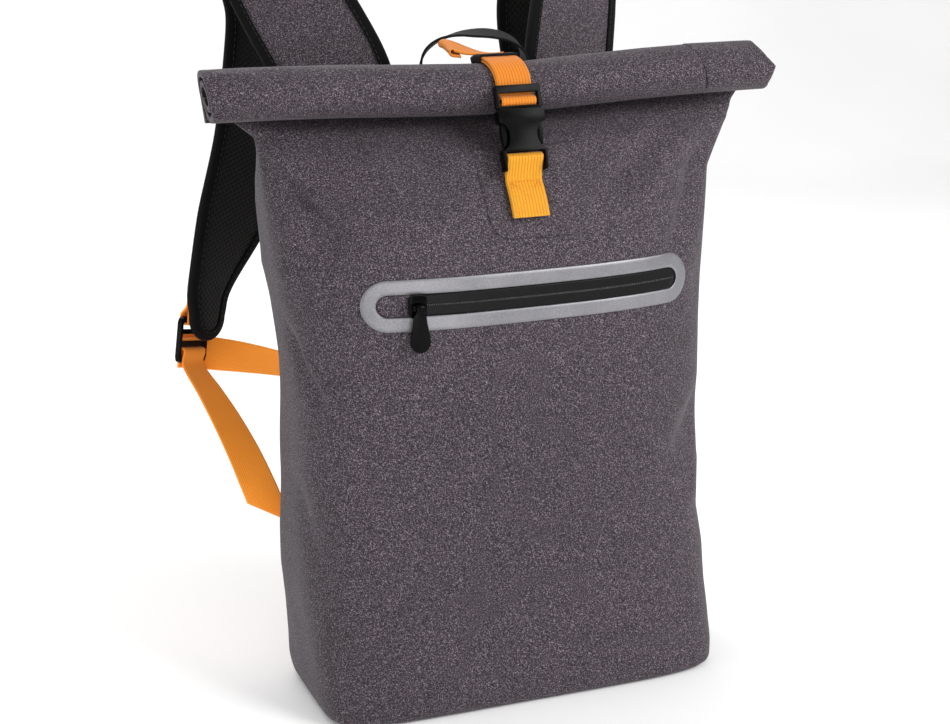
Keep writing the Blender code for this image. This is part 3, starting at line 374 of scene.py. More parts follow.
def smoothLine(rows, spacing):
    # Catmull-Rom through the rows, sampled evenly; a row may carry more values than its place
    rows = np.array(rows, float)
    ends = np.vstack([2 * rows[0] - rows[1], rows, 2 * rows[-1] - rows[-2]])
    dense = []
    for k in range(len(rows) - 1):
        p0, p1, p2, p3 = ends[k : k + 4]
        for t in np.linspace(0, 1, 24, endpoint=k == len(rows) - 2):
            a = 2 * p1 + (p2 - p0) * t + (2 * p0 - 5 * p1 + 4 * p2 - p3) * t**2
            dense.append(0.5 * (a + (3 * p1 - p0 - 3 * p2 + p3) * t**3))
    dense = np.array(dense)
    run = np.concatenate([[0], np.cumsum(np.linalg.norm(np.diff(dense[:, :3], axis=0), axis=1))])
    even = np.linspace(0, run[-1], max(4, int(run[-1] / spacing)))
    return np.stack([np.interp(even, run, dense[:, k]) for k in range(rows.shape[1])], axis=1)


def framesOf(line, sides):
    found = []
    for k in range(len(line)):
        along = Vector(line[min(k + 1, len(line) - 1)] - line[max(k - 1, 0)]).normalized()
        across = Vector(sides[k])
        across = (across - across.dot(along) * along).normalized()
        found.append((Vector(line[k]), along, across, across.cross(along)))
    return found


selvedge = {"from": 0.93, "bead": 0.12, "beadWide": 0.05}  # shares of half the width, and of half the thickness


def ribbon(name, line, side, width, thick, look, slot, replaces, pair=False, slant=0.0, spacing=0.002):
    # Webbing with rolled selvedges; its uv is across and along, in metres
    line = [tuple(p) for p in line]
    sides = [tuple(side)] * len(line) if isinstance(side[0], (int, float)) else [tuple(s) for s in side]
    rows = smoothLine([p + s for p, s in zip(line, sides)], spacing)
    stations = framesOf(rows[:, :3], rows[:, 3:])
    section = []
    for a in (1.0, 0.985, 0.95, 0.88, 0.6, 0.3, 0.0, -0.3, -0.6, -0.88, -0.95, -0.985, -1.0):
        past = abs(a) - selvedge["from"]
        over = max(0.0, past / (1 - selvedge["from"]))
        bead = 1 + selvedge["bead"] * math.exp(-((past / selvedge["beadWide"]) ** 2))
        section.append((a, math.sqrt(max(0.0, 1 - over**2)) * bead))
    loop = section + [(a, -h) for a, h in section[-2:0:-1]]
    points, uv, run = [], [], 0.0
    length = sum((b[0] - a[0]).length for a, b in zip(stations, stations[1:]))
    for k, (point, along, across, out) in enumerate(stations):
        if k:
            run += (point - stations[k - 1][0]).length
        reach = across + along * (slant * max(0.0, 1 - (length - run) / (1.5 * width)))
        for a, h in loop:
            points.append(point + reach * (a * width / 2) + out * (h * thick / 2))
            uv.append((a * width / 2, run))
    faces = ringFaces(len(stations), len(loop), capped=True)
    make = addPair if pair else addPiece
    make(name, points, faces, look, slot, replaces, uv=uv)


# share of a stitch's length, size and rise, as shares of its radius
stitchRows = ((0, 0.35, -0.4), (0.18, 0.95, 0.35), (0.5, 1.0, 0.6), (0.82, 0.95, 0.35), (1, 0.35, -0.4))


def stitches(name, path, outs, look, slot, length, gap, radius, pair=False):
    # Short raised stitches along a path, each one a bent capsule half sunk in the cloth
    around = 6
    path = [Vector(p) for p in path]
    run = np.concatenate([[0], np.cumsum([(b - a).length for a, b in zip(path, path[1:])])])
    table, outTable = (np.array([tuple(v) for v in rows]) for rows in (path, outs))

    def sample(at, values):
        return Vector([np.interp(at, run, values[:, k]) for k in range(3)])

    points, faces = [], []
    at = gap
    while at + length < run[-1]:
        base = len(points)
        for share, size, rise in stitchRows:
            here = at + share * length
            place = sample(here, table)
            ahead = sample(here + 0.0001, table) - place
            out = sample(here, outTable).normalized()
            side = out.cross(ahead.normalized()).normalized()
            for k in range(around):
                angle = 2 * math.pi * k / around
                turned = side * math.cos(angle) + out * math.sin(angle)
                points.append(place + out * radius * rise + turned * radius * size)
        faces += [tuple(base + k for k in face) for face in ringFaces(len(stitchRows), around, capped=True)]
        at += length + gap
    make = addPair if pair else addPiece
    make(name, points, faces, look, slot, sharpness=80)


def easedNode(name, node, look, ease, body="bag"):
    # The CAD piece with its mould edges rounded
    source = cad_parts[node]
    work = bmesh.new()
    work.from_mesh(source.data)
    bmesh.ops.remove_doubles(work, verts=work.verts, dist=0.000005)
    bmesh.ops.dissolve_limit(work, angle_limit=math.radians(2), verts=work.verts, edges=work.edges)
    mesh = bpy.data.meshes.new(name)
    work.to_mesh(mesh)
    work.free()
    made = newObject(name, mesh)
    bevel = made.modifiers.new("ease", "BEVEL")
    bevel.width = ease
    bevel.segments = 3
    bevel.limit_method = "ANGLE"
    bevel.angle_limit = math.radians(32)
    bevel.use_clamp_overlap = True
    bpy.context.view_layer.update()
    final = bpy.data.meshes.new_from_object(made.evaluated_get(bpy.context.evaluated_depsgraph_get()))
    made.modifiers.clear()
    made.data = final
    final.materials.clear()
    finishMesh(final, 50)
    final.materials.append(looks[look])
    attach(made, body)
    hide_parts(node)


# Body of coated cloth
bag = {
    "neckHeight": 0.404,
    "width": 0.300,
    "depth": 0.136,
    "wall": 0.0022,
    "slit": 0.0012,
    "around": 256,
    "swell": 0.0009,  # soft waves of the cloth, in metres
    "crease": 1.6,  # all creases are this much deeper than their rows say
    "neckBack": 0.12,  # how far back the neck stands, as a share of half the depth
}
roll = {
    "length": 0.3925,
    "depth": 0.040,
    "height": 0.036,
    "aside": 0.0018,
    "ply": 0.0038,
    "gap": 0.0014,
    "slant": 0.003,
    "sag": 0.0055,
    "sagAt": -0.012,  # middle and half width of the sag, as shares of the length
    "sagWide": 0.26,
    "seamAt": 0.1427,  # where the lap of the side seam crosses the roll
    "foot": 0.006,  # what stays unrolled above the neck
    # shares of the roll's own thickness
    "pinch": 0.03,
    "wave": 0.022,
    "ripple": 0.010,
    "lapLean": 0.0048,  # in metres
    "lapStep": 0.014,
    "lapGroove": 0.03,
    "lapFade": 0.028,
    "slimEnd": 0.22,
}
neckY = bag["neckBack"] * bag["depth"] / 2
roll["y"] = neckY - roll["depth"] / 2 + roll["ply"] / 2
roll["z"] = bag["neckHeight"] + roll["height"] / 2
fit = 0.0004

# height, half width, middle, front, back, front squareness, back squareness, as shares
bodyRows = np.array((
    (0.000, 0.955, 0.00, 0.900, 0.890, 6.0, 7.0),
    (0.006, 0.990, 0.00, 0.955, 0.940, 6.0, 7.0),
    (0.020, 1.008, 0.00, 0.985, 0.975, 5.5, 7.0),
    (0.050, 1.018, 0.00, 1.005, 0.990, 5.0, 7.0),
    (0.220, 1.002, 0.00, 1.018, 0.990, 3.6, 6.0),
    (0.400, 0.975, 0.00, 1.020, 0.990, 2.9, 5.5),
    (0.600, 0.980, 0.00, 1.012, 0.990, 2.7, 5.5),
    (0.740, 1.005, 0.00, 0.985, 0.985, 2.6, 5.2),
    (0.840, 1.052, 0.02, 0.850, 0.940, 2.5, 4.4),
    (0.900, 1.092, 0.04, 0.660, 0.820, 2.2, 3.4),
    (0.945, 1.130, 0.08, 0.540, 0.560, 1.9, 2.5),
    (0.972, 1.165, 0.11, 0.390, 0.230, 1.7, 1.9),
    (0.986, 1.190, 0.12, 0.240, 0.060, 1.9, 1.9),
    (1.000, 1.225, 0.12, 0.0415, 0.0415, 2.0, 2.0),
))
# how far the cloth's two edges stand out or in below the roll: height share, left, right in metres
edgeRows = np.array((
    (0.000, -0.0088, -0.0015),
    (0.012, -0.0085, -0.0015),
    (0.082, -0.0074, -0.0037),
    (0.151, -0.0052, -0.0045),
    (0.220, -0.0015, -0.0037),
    (0.293, 0.0000, -0.0060),
    (0.335, 0.0000, -0.0030),
    (0.370, 0.0000, 0.0000),
    (0.60, 0.0000, 0.0000),
    (0.70, 0.0020, -0.0005),
    (0.76, 0.0045, -0.0010),
    (0.79, 0.0030, -0.0014),
    (0.862, -0.0010, -0.0018),
    (0.880, -0.0026, -0.0018),
    (0.898, -0.0040, 0.0008),
    (0.933, -0.0082, 0.0056),
    (0.955, -0.0115, 0.0078),
    (0.974, -0.0145, 0.0070),
    (0.985, -0.0120, 0.0052),
    (1.000, -0.0100, 0.0040),
))
# share round from the front's middle, height share, radius round, radius up, lean, depth in metres
bodyDents = (
    (-0.335, 0.880, 0.050, 0.050, 0.00, 0.0060),
    (0.335, 0.880, 0.045, 0.045, 0.00, 0.0040),
    (-0.300, 0.520, 0.018, 0.075, -0.60, 0.0028),
    (0.350, 0.410, 0.050, 0.045, 0.00, 0.0050),
    (0.360, 0.700, 0.040, 0.030, 0.00, 0.0022),
    (-0.130, 0.945, 0.050, 0.035, 0.00, 0.0040),
    (0.140, 0.940, 0.050, 0.030, 0.00, 0.0025),
)
# creases: along and up at the start, along and up at the end, half width, height
# all in metres; along runs round from the front's middle
bodyFolds = (
    (-0.172, 0.398, -0.128, 0.345, 0.006, 0.0040),
    (-0.158, 0.378, -0.120, 0.322, 0.012, -0.0044),
    (-0.150, 0.350, -0.165, 0.300, 0.010, 0.0014),
    (-0.176, 0.272, -0.136, 0.218, 0.008, -0.0042),
    (-0.164, 0.262, -0.126, 0.212, 0.007, 0.0026),
    (-0.175, 0.160, -0.150, 0.110, 0.014, -0.0018),
    (0.150, 0.388, 0.078, 0.340, 0.011, 0.0022),
    (0.120, 0.388, 0.066, 0.352, 0.009, -0.0020),
    (0.158, 0.372, 0.120, 0.322, 0.010, -0.0032),
    (0.140, 0.334, 0.108, 0.306, 0.010, -0.0036),
    (0.150, 0.200, 0.110, 0.160, 0.014, -0.0030),
    (0.150, 0.180, 0.128, 0.120, 0.012, 0.0018),
    (0.020, 0.060, 0.110, 0.030, 0.012, 0.0014),
    (0.070, 0.030, 0.140, 0.018, 0.009, -0.0014),
    (-0.150, 0.050, -0.090, 0.022, 0.010, -0.0014),
    (-0.094, 0.394, -0.082, 0.362, 0.005, 0.0013),
    (-0.060, 0.392, -0.048, 0.350, 0.005, -0.0014),
    (0.040, 0.392, 0.044, 0.356, 0.005, -0.0012),
    (0.030, 0.392, 0.030, 0.352, 0.006, 0.0012),
    (0.100, 0.394, 0.092, 0.366, 0.005, 0.0011),
    (-0.240, 0.360, -0.230, 0.200, 0.018, -0.0030),
    (0.240, 0.350, 0.232, 0.160, 0.018, -0.0026),
    (-0.330, 0.200, -0.270, 0.120, 0.014, 0.0016),
    (0.320, 0.240, 0.270, 0.150, 0.014, 0.0016),
)


def bodySection(share):
    x, y = bodyRows[:, 0], bodyRows[:, 1:]
    k = int(np.clip(np.searchsorted(x, share) - 1, 0, len(x) - 2))
    rise = np.diff(y, axis=0) / np.diff(x)[:, None]
    slope = np.zeros_like(y)
    total = rise[1:] + rise[:-1]
    same = rise[1:] * rise[:-1] > 0
    slope[1:-1] = np.where(same, 2 * rise[1:] * rise[:-1] / np.where(same, total, 1.0), 0.0)
    slope[0], slope[-1] = rise[0], rise[-1]
    h = x[k + 1] - x[k]
    t = (share - x[k]) / h
    row = (2 * t**3 - 3 * t**2 + 1) * y[k] + (t**3 - 2 * t**2 + t) * h * slope[k]
    row += (-2 * t**3 + 3 * t**2) * y[k + 1] + (t**3 - t**2) * h * slope[k + 1]
    half, middle, front, back, squareFront, squareBack = row
    deep, thin = bag["depth"] / 2, bag["wall"] + bag["slit"] / 2
    half, front, back = half * bag["width"] / 2, max(front * deep, thin), max(back * deep, thin)
    return half, middle * deep, front, back, squareFront, squareBack


def sectionRing(share):
    half, middle, front, back, squareFront, squareBack = bodySection(share)

    def quarter(depth, power):
        t = np.linspace(0, math.pi / 2, 400)
        x = half * np.sin(t) ** (2 / power)
        y = depth * np.cos(t) ** (2 / power)
        turn = np.unwrap(np.arctan2(np.diff(y), np.diff(x)))
        bend = np.concatenate([[0], np.abs(np.diff(turn))]) * min(0.035, half)
        run = np.concatenate([[0], np.cumsum(np.hypot(np.diff(x), np.diff(y)) + bend)])
        even = np.linspace(0, run[-1], bag["around"] // 4 + 1)
        return np.interp(even, run, x), np.interp(even, run, y)

    fx, fy = quarter(front, squareFront)
    bx, by = quarter(back, squareBack)
    x = np.concatenate([fx, bx[::-1][1:]])
    y = np.concatenate([middle - fy, middle + by[::-1][1:]])
    return np.concatenate([x, -x[-2:0:-1]]), np.concatenate([y, y[-2:0:-1]])


def rollDrop(x):
    off = x / roll["length"] - roll["sagAt"]
    return roll["sag"] * np.exp(-((off / roll["sagWide"]) ** 2))


def neckSag(x, share):
    part = np.clip((share - 0.93) / 0.055, 0.0, 1.0)
    return rollDrop(x) * part * part * (3 - 2 * part)


def foldHeight(along, up):
    total = np.zeros_like(along)
    for a0, z0, a1, z1, wide, high in bodyFolds:
        dx, dz = a1 - a0, z1 - z0
        size = math.hypot(dx, dz)
        share = ((along - a0) * dx + (up - z0) * dz) / size**2
        off = ((along - a0) * dz - (up - z0) * dx) / size
        taper = np.exp(-((np.clip(np.abs(share - 0.5) - 0.22, 0, None) / 0.26) ** 2))
        total += bag["crease"] * high * taper / (1 + (off / wide) ** 2) ** 1.5
    return total


# heights of the rings, closest at the foot and under the roll
levels = np.concatenate([
    np.linspace(0, 0.05, 14), np.linspace(0.05, 0.80, 92)[1:],
    np.linspace(0.80, 0.93, 34)[1:], np.linspace(0.93, 1.0, 30)[1:],
])


def makeRings():
    rings = []
    count = bag["around"]
    place = np.arange(count) / (count / 2)
    place = np.where(place > 1, place - 2, place)
    for share in levels:
        x, y = sectionRing(share)
        steps = np.hypot(np.diff(x, append=x[0]), np.diff(y, append=y[0]))
        run = np.concatenate([[0], np.cumsum(steps)[:-1]])
        along = np.where(run > steps.sum() / 2, run - steps.sum(), run)
        tx, ty = np.roll(x, -1) - np.roll(x, 1), np.roll(y, -1) - np.roll(y, 1)
        size = np.maximum(np.hypot(tx, ty), 1e-9)
        outX, outY = ty / size, -tx / size
        z = share * bag["neckHeight"]
        sunk = np.zeros(count)
        for at, height, wide, tall, lean, depth in bodyDents:
            u = place - at - lean * (share - height)
            sunk -= depth * np.exp(-((u / wide) ** 2) - ((share - height) / tall) ** 2)
        shape = foldHeight(along, np.full(count, z))
        for part, across, tall, aside in ((1.0, 14, 9, 0), (0.45, 34, 26, 7)):
            waves = [noise.noise(Vector((a * across, b * across + aside, z * tall))) for a, b in zip(x, y)]
            shape += part * bag["swell"] * np.array(waves)
        reach = [np.interp(share, edgeRows[:, 0], edgeRows[:, k]) for k in (1, 2)]
        x = x + np.where(x < 0, -reach[0], reach[1]) * np.abs(x / np.abs(x).max()) ** 5
        top = min(max((0.985 - share) / 0.04, 0.0), 1.0)
        foot = min(share / 0.015, 1.0)
        move = sunk * top + shape * top * foot
        rings.append((x + outX * move, y + outY * move))
    return rings


rings = makeRings()


def makeBody():
    points = []
    for share, (x, y) in zip(levels, rings):
        z = share * bag["neckHeight"] - neckSag(x, share)
        points += list(zip(x, y, z))
    faces = ringFaces(len(levels), bag["around"], capped=True)
    addPiece("bodyCloth", points, faces, "fabric", "coated_fabric", ["body_shell"], sharpness=60)


makeBody()
print("body made")


def neckShare(x, z):
    # The height share of a place, with the sag of the neck taken out
    share = z / bag["neckHeight"]
    for _ in range(4):
        share = min(max((z + neckSag(x, share)) / bag["neckHeight"], 0.0), 1.0)
    return share


def faceY(x, z, behind=False):
    # Where the dressed body's front or back lies, as Y
    share = neckShare(x, z)
    k = int(np.clip(np.searchsorted(levels, share) - 1, 0, len(levels) - 2))
    t = (share - levels[k]) / (levels[k + 1] - levels[k])
    quarter = bag["around"] // 4
    if behind:
        order = np.arange(3 * quarter, quarter - 1, -1)
    else:
        order = np.r_[3 * quarter : 4 * quarter, 0 : quarter + 1]
    low, high = (np.interp(x, xs[order], ys[order]) for xs, ys in rings[k : k + 2])
    return low * (1 - t) + high * t


def smoothFaceY(x, z, behind=False):
    # The same without creases: tongue, pads and straps are set out from it, as in the CAD
    half, middle, front, back, squareFront, squareBack = bodySection(neckShare(x, z))
    power = squareBack if behind else squareFront
    inside = max(1 - abs(x / half) ** power, 0.0) ** (1 / power)
    return middle + back * inside if behind else middle - front * inside


def onFace(name, grid, lift, thick, look, slot, replaces, behind=False):
    # A sheet laid on the body from a grid of (x, z) places, with its rim eased down
    rows, columns = len(grid), len(grid[0])
    sign = 1 if behind else -1
    points, uv = [], []
    for layer in (0, 1):
        for r, row in enumerate(grid):
            for c, (x, z) in enumerate(row):
                rim = r in (0, rows - 1) or c in (0, columns - 1)
                high = lift + (thick * (0.55 if rim else 1.0) if layer else 0.0)
                points.append((x, faceY(x, z, behind) + sign * high, z))
                uv.append((x, z))
    addPiece(name, points, sheetFaces(rows, columns), look, slot, replaces, uv=uv, sharpness=70)


# Rolled top
def rollPoint(degrees, out):
    step = roll["ply"] + roll["gap"]
    turned = max(0.0, degrees - 180)
    drop = step * turned / 180 if turned < 180 else step * turned / 360 + step / 2
    angle = math.radians(degrees)
    y = roll["y"] + (roll["depth"] / 2 - drop + out) * math.cos(angle)
    return y, roll["z"] + (roll["height"] / 2 - drop + out) * math.sin(angle)


def rimReach(up):
    # The right-hand rim ends in a point at the front, with straight edges above and below it
    up = min(max(up, -1.0), 1.0)
    tip, above, below, bulge = 0.1, 0.0162, 0.0066, 0.0072
    straight = -above * (up - tip) / (1 - tip) if up > tip else -below * (tip - up) / (1 + tip)
    return straight + roll["slant"] * up + bulge * (1 - math.sqrt(1 - up * up))


def makeRoll():
    turns = list(np.linspace(0, 360, 73)) + list(np.linspace(370, 720, 36))
    foot = bag["neckHeight"] + fit
    outer = [(neckY + roll["ply"] / 2, foot)] + [rollPoint(t, 0) for t in turns]
    loop = outer + [rollPoint(t, -roll["ply"]) for t in turns[::-1]] + [(neckY - roll["ply"] / 2, foot)]
    ends = {1: 0.970, 0.9985: 0.985, 0.995: 0.995}  # how the rims are eased in
    inner = sorted(list(np.linspace(-0.985, 0.985, 130)) + list(np.linspace(0.675, 0.752, 80)))
    shares = [-e for e in ends] + inner + list(ends)[::-1]
    half = len(outer)
    points = []
    for share in shares:
        pinch = 1 - roll["pinch"] * math.exp(-(((share - 0.02) / 0.13) ** 2))
        ease = ends.get(abs(share), 1.0)
        for k, (y, z) in enumerate(loop):
            up = (z - roll["z"]) / (roll["height"] / 2)
            x = roll["aside"] + share * roll["length"] / 2 - roll["slant"] * up * abs(share) ** 3
            if share > 0:
                x += rimReach(up) * share**10
            grow = pinch * ease
            if k < half:
                angle = math.atan2(z - roll["z"], y - roll["y"])
                c, s = math.cos(angle), math.sin(angle)
                grow += roll["wave"] * noise.noise(Vector((x * 16, 2.2 * c + x * 5, 2.2 * s)))
                grow += roll["ripple"] * noise.noise(Vector((x * 55, 3 * c, 3 * s + 5)))
                if k > 0 and turns[k - 1] < 350:
                    past = x - roll["seamAt"] + roll["lapLean"] * s - 0.002 * max(0.0, -c)
                    grow += roll["lapStep"] * (1 + math.tanh(past / 0.0003))
                    grow -= roll["lapGroove"] * math.exp(-(((past + 0.0004) / 0.0006) ** 2))
                    grow -= roll["lapFade"] * max(0.0, min(1.0, past / 0.05))
            if z <= foot + roll["foot"]:
                grow = 1.0
            slim = 1 - roll["slimEnd"] * max(0.0, (-share - 0.9) / 0.1) if grow != 1.0 else 1.0
            away, above = (y - roll["y"]) * grow * slim, (z - roll["z"]) * grow
            points.append((x, roll["y"] + away, roll["z"] + above - rollDrop(x)))
    around = len(loop)
    faces = ringFaces(len(shares), around)
    last = (len(shares) - 1) * around
    for k in range(half - 1):
        faces.append((k + 1, k, around - 1 - k, around - 2 - k))
        faces.append((last + k, last + k + 1, last + around - 2 - k, last + around - 1 - k))
    addPiece("rollCloth", points, faces, "fabric", "coated_fabric", ["roll_top"], sharpness=55)


makeRoll()
print("roll made")


# Welded patch under the buckle
patch = {"width": 0.074, "foot": 0.326, "head": 0.382, "thick": 0.0011, "lift": 0.0001, "aside": 0.004}


def makePatch():
    tall = patch["head"] - patch["foot"]
    corner = 0.20 * patch["width"]
    grid = []
    for share in (0, 0.01, 0.03, 0.06, 0.10, 0.15, 0.2, 0.26) + tuple(np.linspace(0.33, 1, 18)):
        half = patch["width"] / 2 * (0.94 + 0.06 * share)
        into = max(0.0, corner - share * tall)
        half -= corner - math.sqrt(max(corner**2 - into**2, 0.0))
        middle = patch["aside"] + 0.10 * patch["width"]
        shape = np.concatenate([[-1, -0.985], np.linspace(-0.93, 0.93, 22), [0.985, 1]])
        grid.append([(middle + a * half, patch["foot"] + share * tall) for a in shape])
    thick = patch["thick"] - patch["lift"]
    onFace("weldedPatch", grid, patch["lift"], thick, "fabric", "coated_fabric", ["buckle_patch"])


makePatch()


# Zip: silver frame, garage, tape, chain, slider and puller
zipper = {
    "length": 0.2325,
    "width": 0.0335,
    "band": 0.0094,
    "aside": 0.0045,
    "height": 0.289,
    "thick": 0.0009,
    "lift": 0.0002,
    "tape": 0.0010,
    "garage": 0.0215,
    "sliderAt": -0.077,
    "sliderWidth": 0.012,
    "toothPitch": 0.0014,
    "toothHigh": 0.0004,
    "toothWide": 0.0011,
    "split": 0.004,  # half the gap between the tapes, as a share of half the window
}
# inset and height of the frame's rows, as shares of its band and thickness
zipBands = (
    (0.0, 0.2), (0.0, 0.75), (0.035, 1.0), (0.25, 1.0), (0.5, 1.0), (0.75, 1.0), (0.965, 1.0),
    (1.0, 0.75), (1.0, 0.2),
)


def stadium(length, width, count):
    arc = count // 4
    points = []
    for side in (1, -1):
        for k in range(arc + 1):
            angle = math.pi * (k / arc - 0.5)
            far = (length - width) / 2 + width / 2 * math.cos(angle)
            points.append((side * far, side * width / 2 * math.sin(angle)))
        straight = count // 2 - arc - 1
        for k in range(1, straight + 1):
            points.append((side * (1 - 2 * k / (straight + 1)) * (length - width) / 2, side * width / 2))
    return points


def makeZip():
    count = 192
    points = []
    for inset, high in zipBands:
        cut = 2 * inset * zipper["band"]
        for x, z in stadium(zipper["length"] - cut, zipper["width"] - cut, count):
            x, z = x + zipper["aside"], z + zipper["height"]
            points.append((x, faceY(x, z) - zipper["lift"] - zipper["thick"] * high, z))
    faces = ringFaces(len(zipBands), count)
    last = (len(zipBands) - 1) * count
    for k in range(count):
        n = (k + 1) % count
        faces.append((last + k, last + n, n, k))
    addPiece("silverFrame", points, faces, "film", "reflective_film", ["zip_frame"], sharpness=60)
    width = zipper["width"] - 2 * zipper["band"] - 2 * fit
    reach = zipper["length"] / 2 - zipper["band"] - fit
    split = zipper["aside"] - zipper["length"] / 2 + zipper["band"] + zipper["garage"]

    def lay(name, start, end, columns, low, high, look, slot, replaces):
        grid = []
        for share in np.linspace(low, high, 13):
            z = share * width / 2
            far = reach - width / 2 + math.sqrt(max((width / 2) ** 2 - z**2, 0.0))
            left = zipper["aside"] - far if start is None else start
            right = zipper["aside"] + far if end is None else end
            grid.append([(x, zipper["height"] + z) for x in np.linspace(left, right, columns)])
        onFace(name, grid, 0.0, zipper["tape"], look, slot, replaces)

    gap = zipper["split"]
    lay("zipGarage", None, split, 14, -1.0, 1.0, "fabric", "coated_fabric", ["zip_garage"])
    lay("zipTapeUpper", split, None, 80, gap, 1.0, "tape", "zip_tape", ["zip_tape"])
    lay("zipTapeLower", split, None, 80, -1.0, -gap, "tape", "zip_tape", [])
    points, faces = [], []
    x = zipper["sliderAt"] + 0.6 * zipper["sliderWidth"]
    end = zipper["aside"] + zipper["length"] / 2 - 1.3 * zipper["band"]
    corners = ((-1, -1), (1, -1), (1, 1), (-1, 1))
    long, wide = 0.28 * zipper["toothPitch"], zipper["toothWide"] / 2
    while x < end:
        base = len(points)
        y = faceY(x, zipper["height"]) - zipper["thick"]
        points += [(x + a * long, y, zipper["height"] + b * wide) for a, b in corners]
        y -= zipper["toothHigh"]
        points += [(x + a * 0.6 * long, y, zipper["height"] + b * 0.5 * wide) for a, b in corners]
        faces += [tuple(base + k for k in face) for face in ringFaces(2, 4, capped=True)]
        x += zipper["toothPitch"]
    addPiece("zipChain", points, faces, "nylon", "zip_coil", ["zip_coil"], sharpness=30)
    easedNode("zipSlider", "zip_slider", "enamel", 0.0005)
    easedNode("zipPuller", "zip_puller", "enamel", 0.00055, body="puller")


makeZip()
print("zip made")


# Buckle and closure strap
webbing = {"width": 0.025, "thick": 0.0016}
buckle = {
    "aside": 0.004,
    "tilt": math.radians(15.5),
    "skew": 0.006,
    "halfPlate": 0.0019,
    "barRadius": 0.0011,
    "maleBar": 0.0078,  # how far down the buckle its bars are
    "tongueBar": 0.0450,
}
buckle["y"] = roll["y"] - roll["depth"] / 2 - 2 * webbing["thick"] - 4 * fit - buckle["halfPlate"]
buckle["z"] = roll["z"] - 0.0025
tail = {"reach": 0.036, "rise": 0.0080, "across": 0.92, "lean": 0.16, "twist": 0.42}


def onBuckle(across, down, out):
    y = buckle["y"] - down * math.sin(buckle["tilt"]) - out * math.cos(buckle["tilt"])
    z = buckle["z"] - down * math.cos(buckle["tilt"]) + out * math.sin(buckle["tilt"])
    return Vector((buckle["aside"] + across, y, z))


def arc(centre, radius, start, end, steps):
    angles = [math.radians(start + (end - start) * k / steps) for k in range(steps + 1)]
    return [(centre[0] + radius * math.cos(a), centre[1] + radius * math.sin(a)) for a in angles]


def rollRing(degrees, out):
    y, z = rollPoint(degrees, out)
    return y, z - rollDrop(buckle["aside"])


def closureX(y):
    return buckle["aside"] - buckle["skew"] * min(max((y - roll["y"]) / roll["depth"] + 0.5, 0.0), 1.0)


def makeClosure():
    easedNode("buckleMale", "buckle_male", "acetal", 0.0005)
    easedNode("buckleFemale", "buckle_female", "acetal", 0.0008)
    thick = webbing["thick"]
    under = fit + thick / 2
    over = under + thick + fit
    bar = onBuckle(0, buckle["maleBar"], 0.0002)
    loop = buckle["barRadius"] + fit + thick / 2
    behind = -buckle["halfPlate"] - fit - thick / 2
    line = [(neckY + roll["ply"] / 2 + under, bag["neckHeight"] + 0.001 - rollDrop(buckle["aside"]))]
    line += [rollRing(t, under) for t in range(0, 178, 13)]
    lowest = onBuckle(0, buckle["maleBar"] + 1.05 * loop, -0.0042)
    line += [(line[-1][0], bar.z + 0.8 * loop), (lowest.y, lowest.z)]
    line += arc((bar.y, bar.z), loop, -95, -235, 6)
    line += [tuple(onBuckle(0, down, behind))[1:] for down in (0.0036, -0.0010)]
    line += [rollRing(t, over) for t in range(176, 50, -14)]
    line = [(closureX(y), y, z) for y, z in line]
    ribbon(
        "closureStrap", line, (1, 0, 0), 0.96 * webbing["width"], thick, "orange", "orange_webbing",
        ["closure_strap"], spacing=0.0012,
    )
    easedNode("strapKeeper", "strap_keeper", "black", 0.0003)
    y, z = rollRing(60, fit + thick)
    y += 0.44 * webbing["width"]
    z += 2 * thick + fit
    start = closureX(y) + 0.46 * webbing["width"]
    line = [(start - s * tail["reach"], y, z + tail["rise"] * s**1.5) for s in (0, 0.25, 0.5, 0.75, 0.93)]
    # the folded tip, and the short end under it
    turn = thick / 2 + fit
    tipX, tipZ = line[-1][0] - 0.0012, line[-1][2] - 1.3 * turn
    fold = arc((0, 0), turn, 135, 255, 4)
    line += [(tipX + 1.6 * a, y, tipZ + 1.3 * b) for a, b in fold]
    line.append((line[-1][0] + 0.006, y, line[-1][2] - 0.0009))
    sides = [(0, -1, tail["lean"] - tail["twist"] * min(1.0, k / 3)) for k in range(len(line))]
    ribbon(
        "closureTail", line, sides, tail["across"] * webbing["width"], thick, "orange", "orange_webbing",
        ["closure_tail"], spacing=0.0008,
    )


tongue = {
    "foot": 0.340,
    "sewn": 0.022,
    "lap": 0.0012,
    "barRadius": 0.0016,
    "box": (0.0021, 0.0007, 0.00022),  # length, gap and radius of a stitch
    "cross": (0.0021, 0.0007, 0.00020),
}


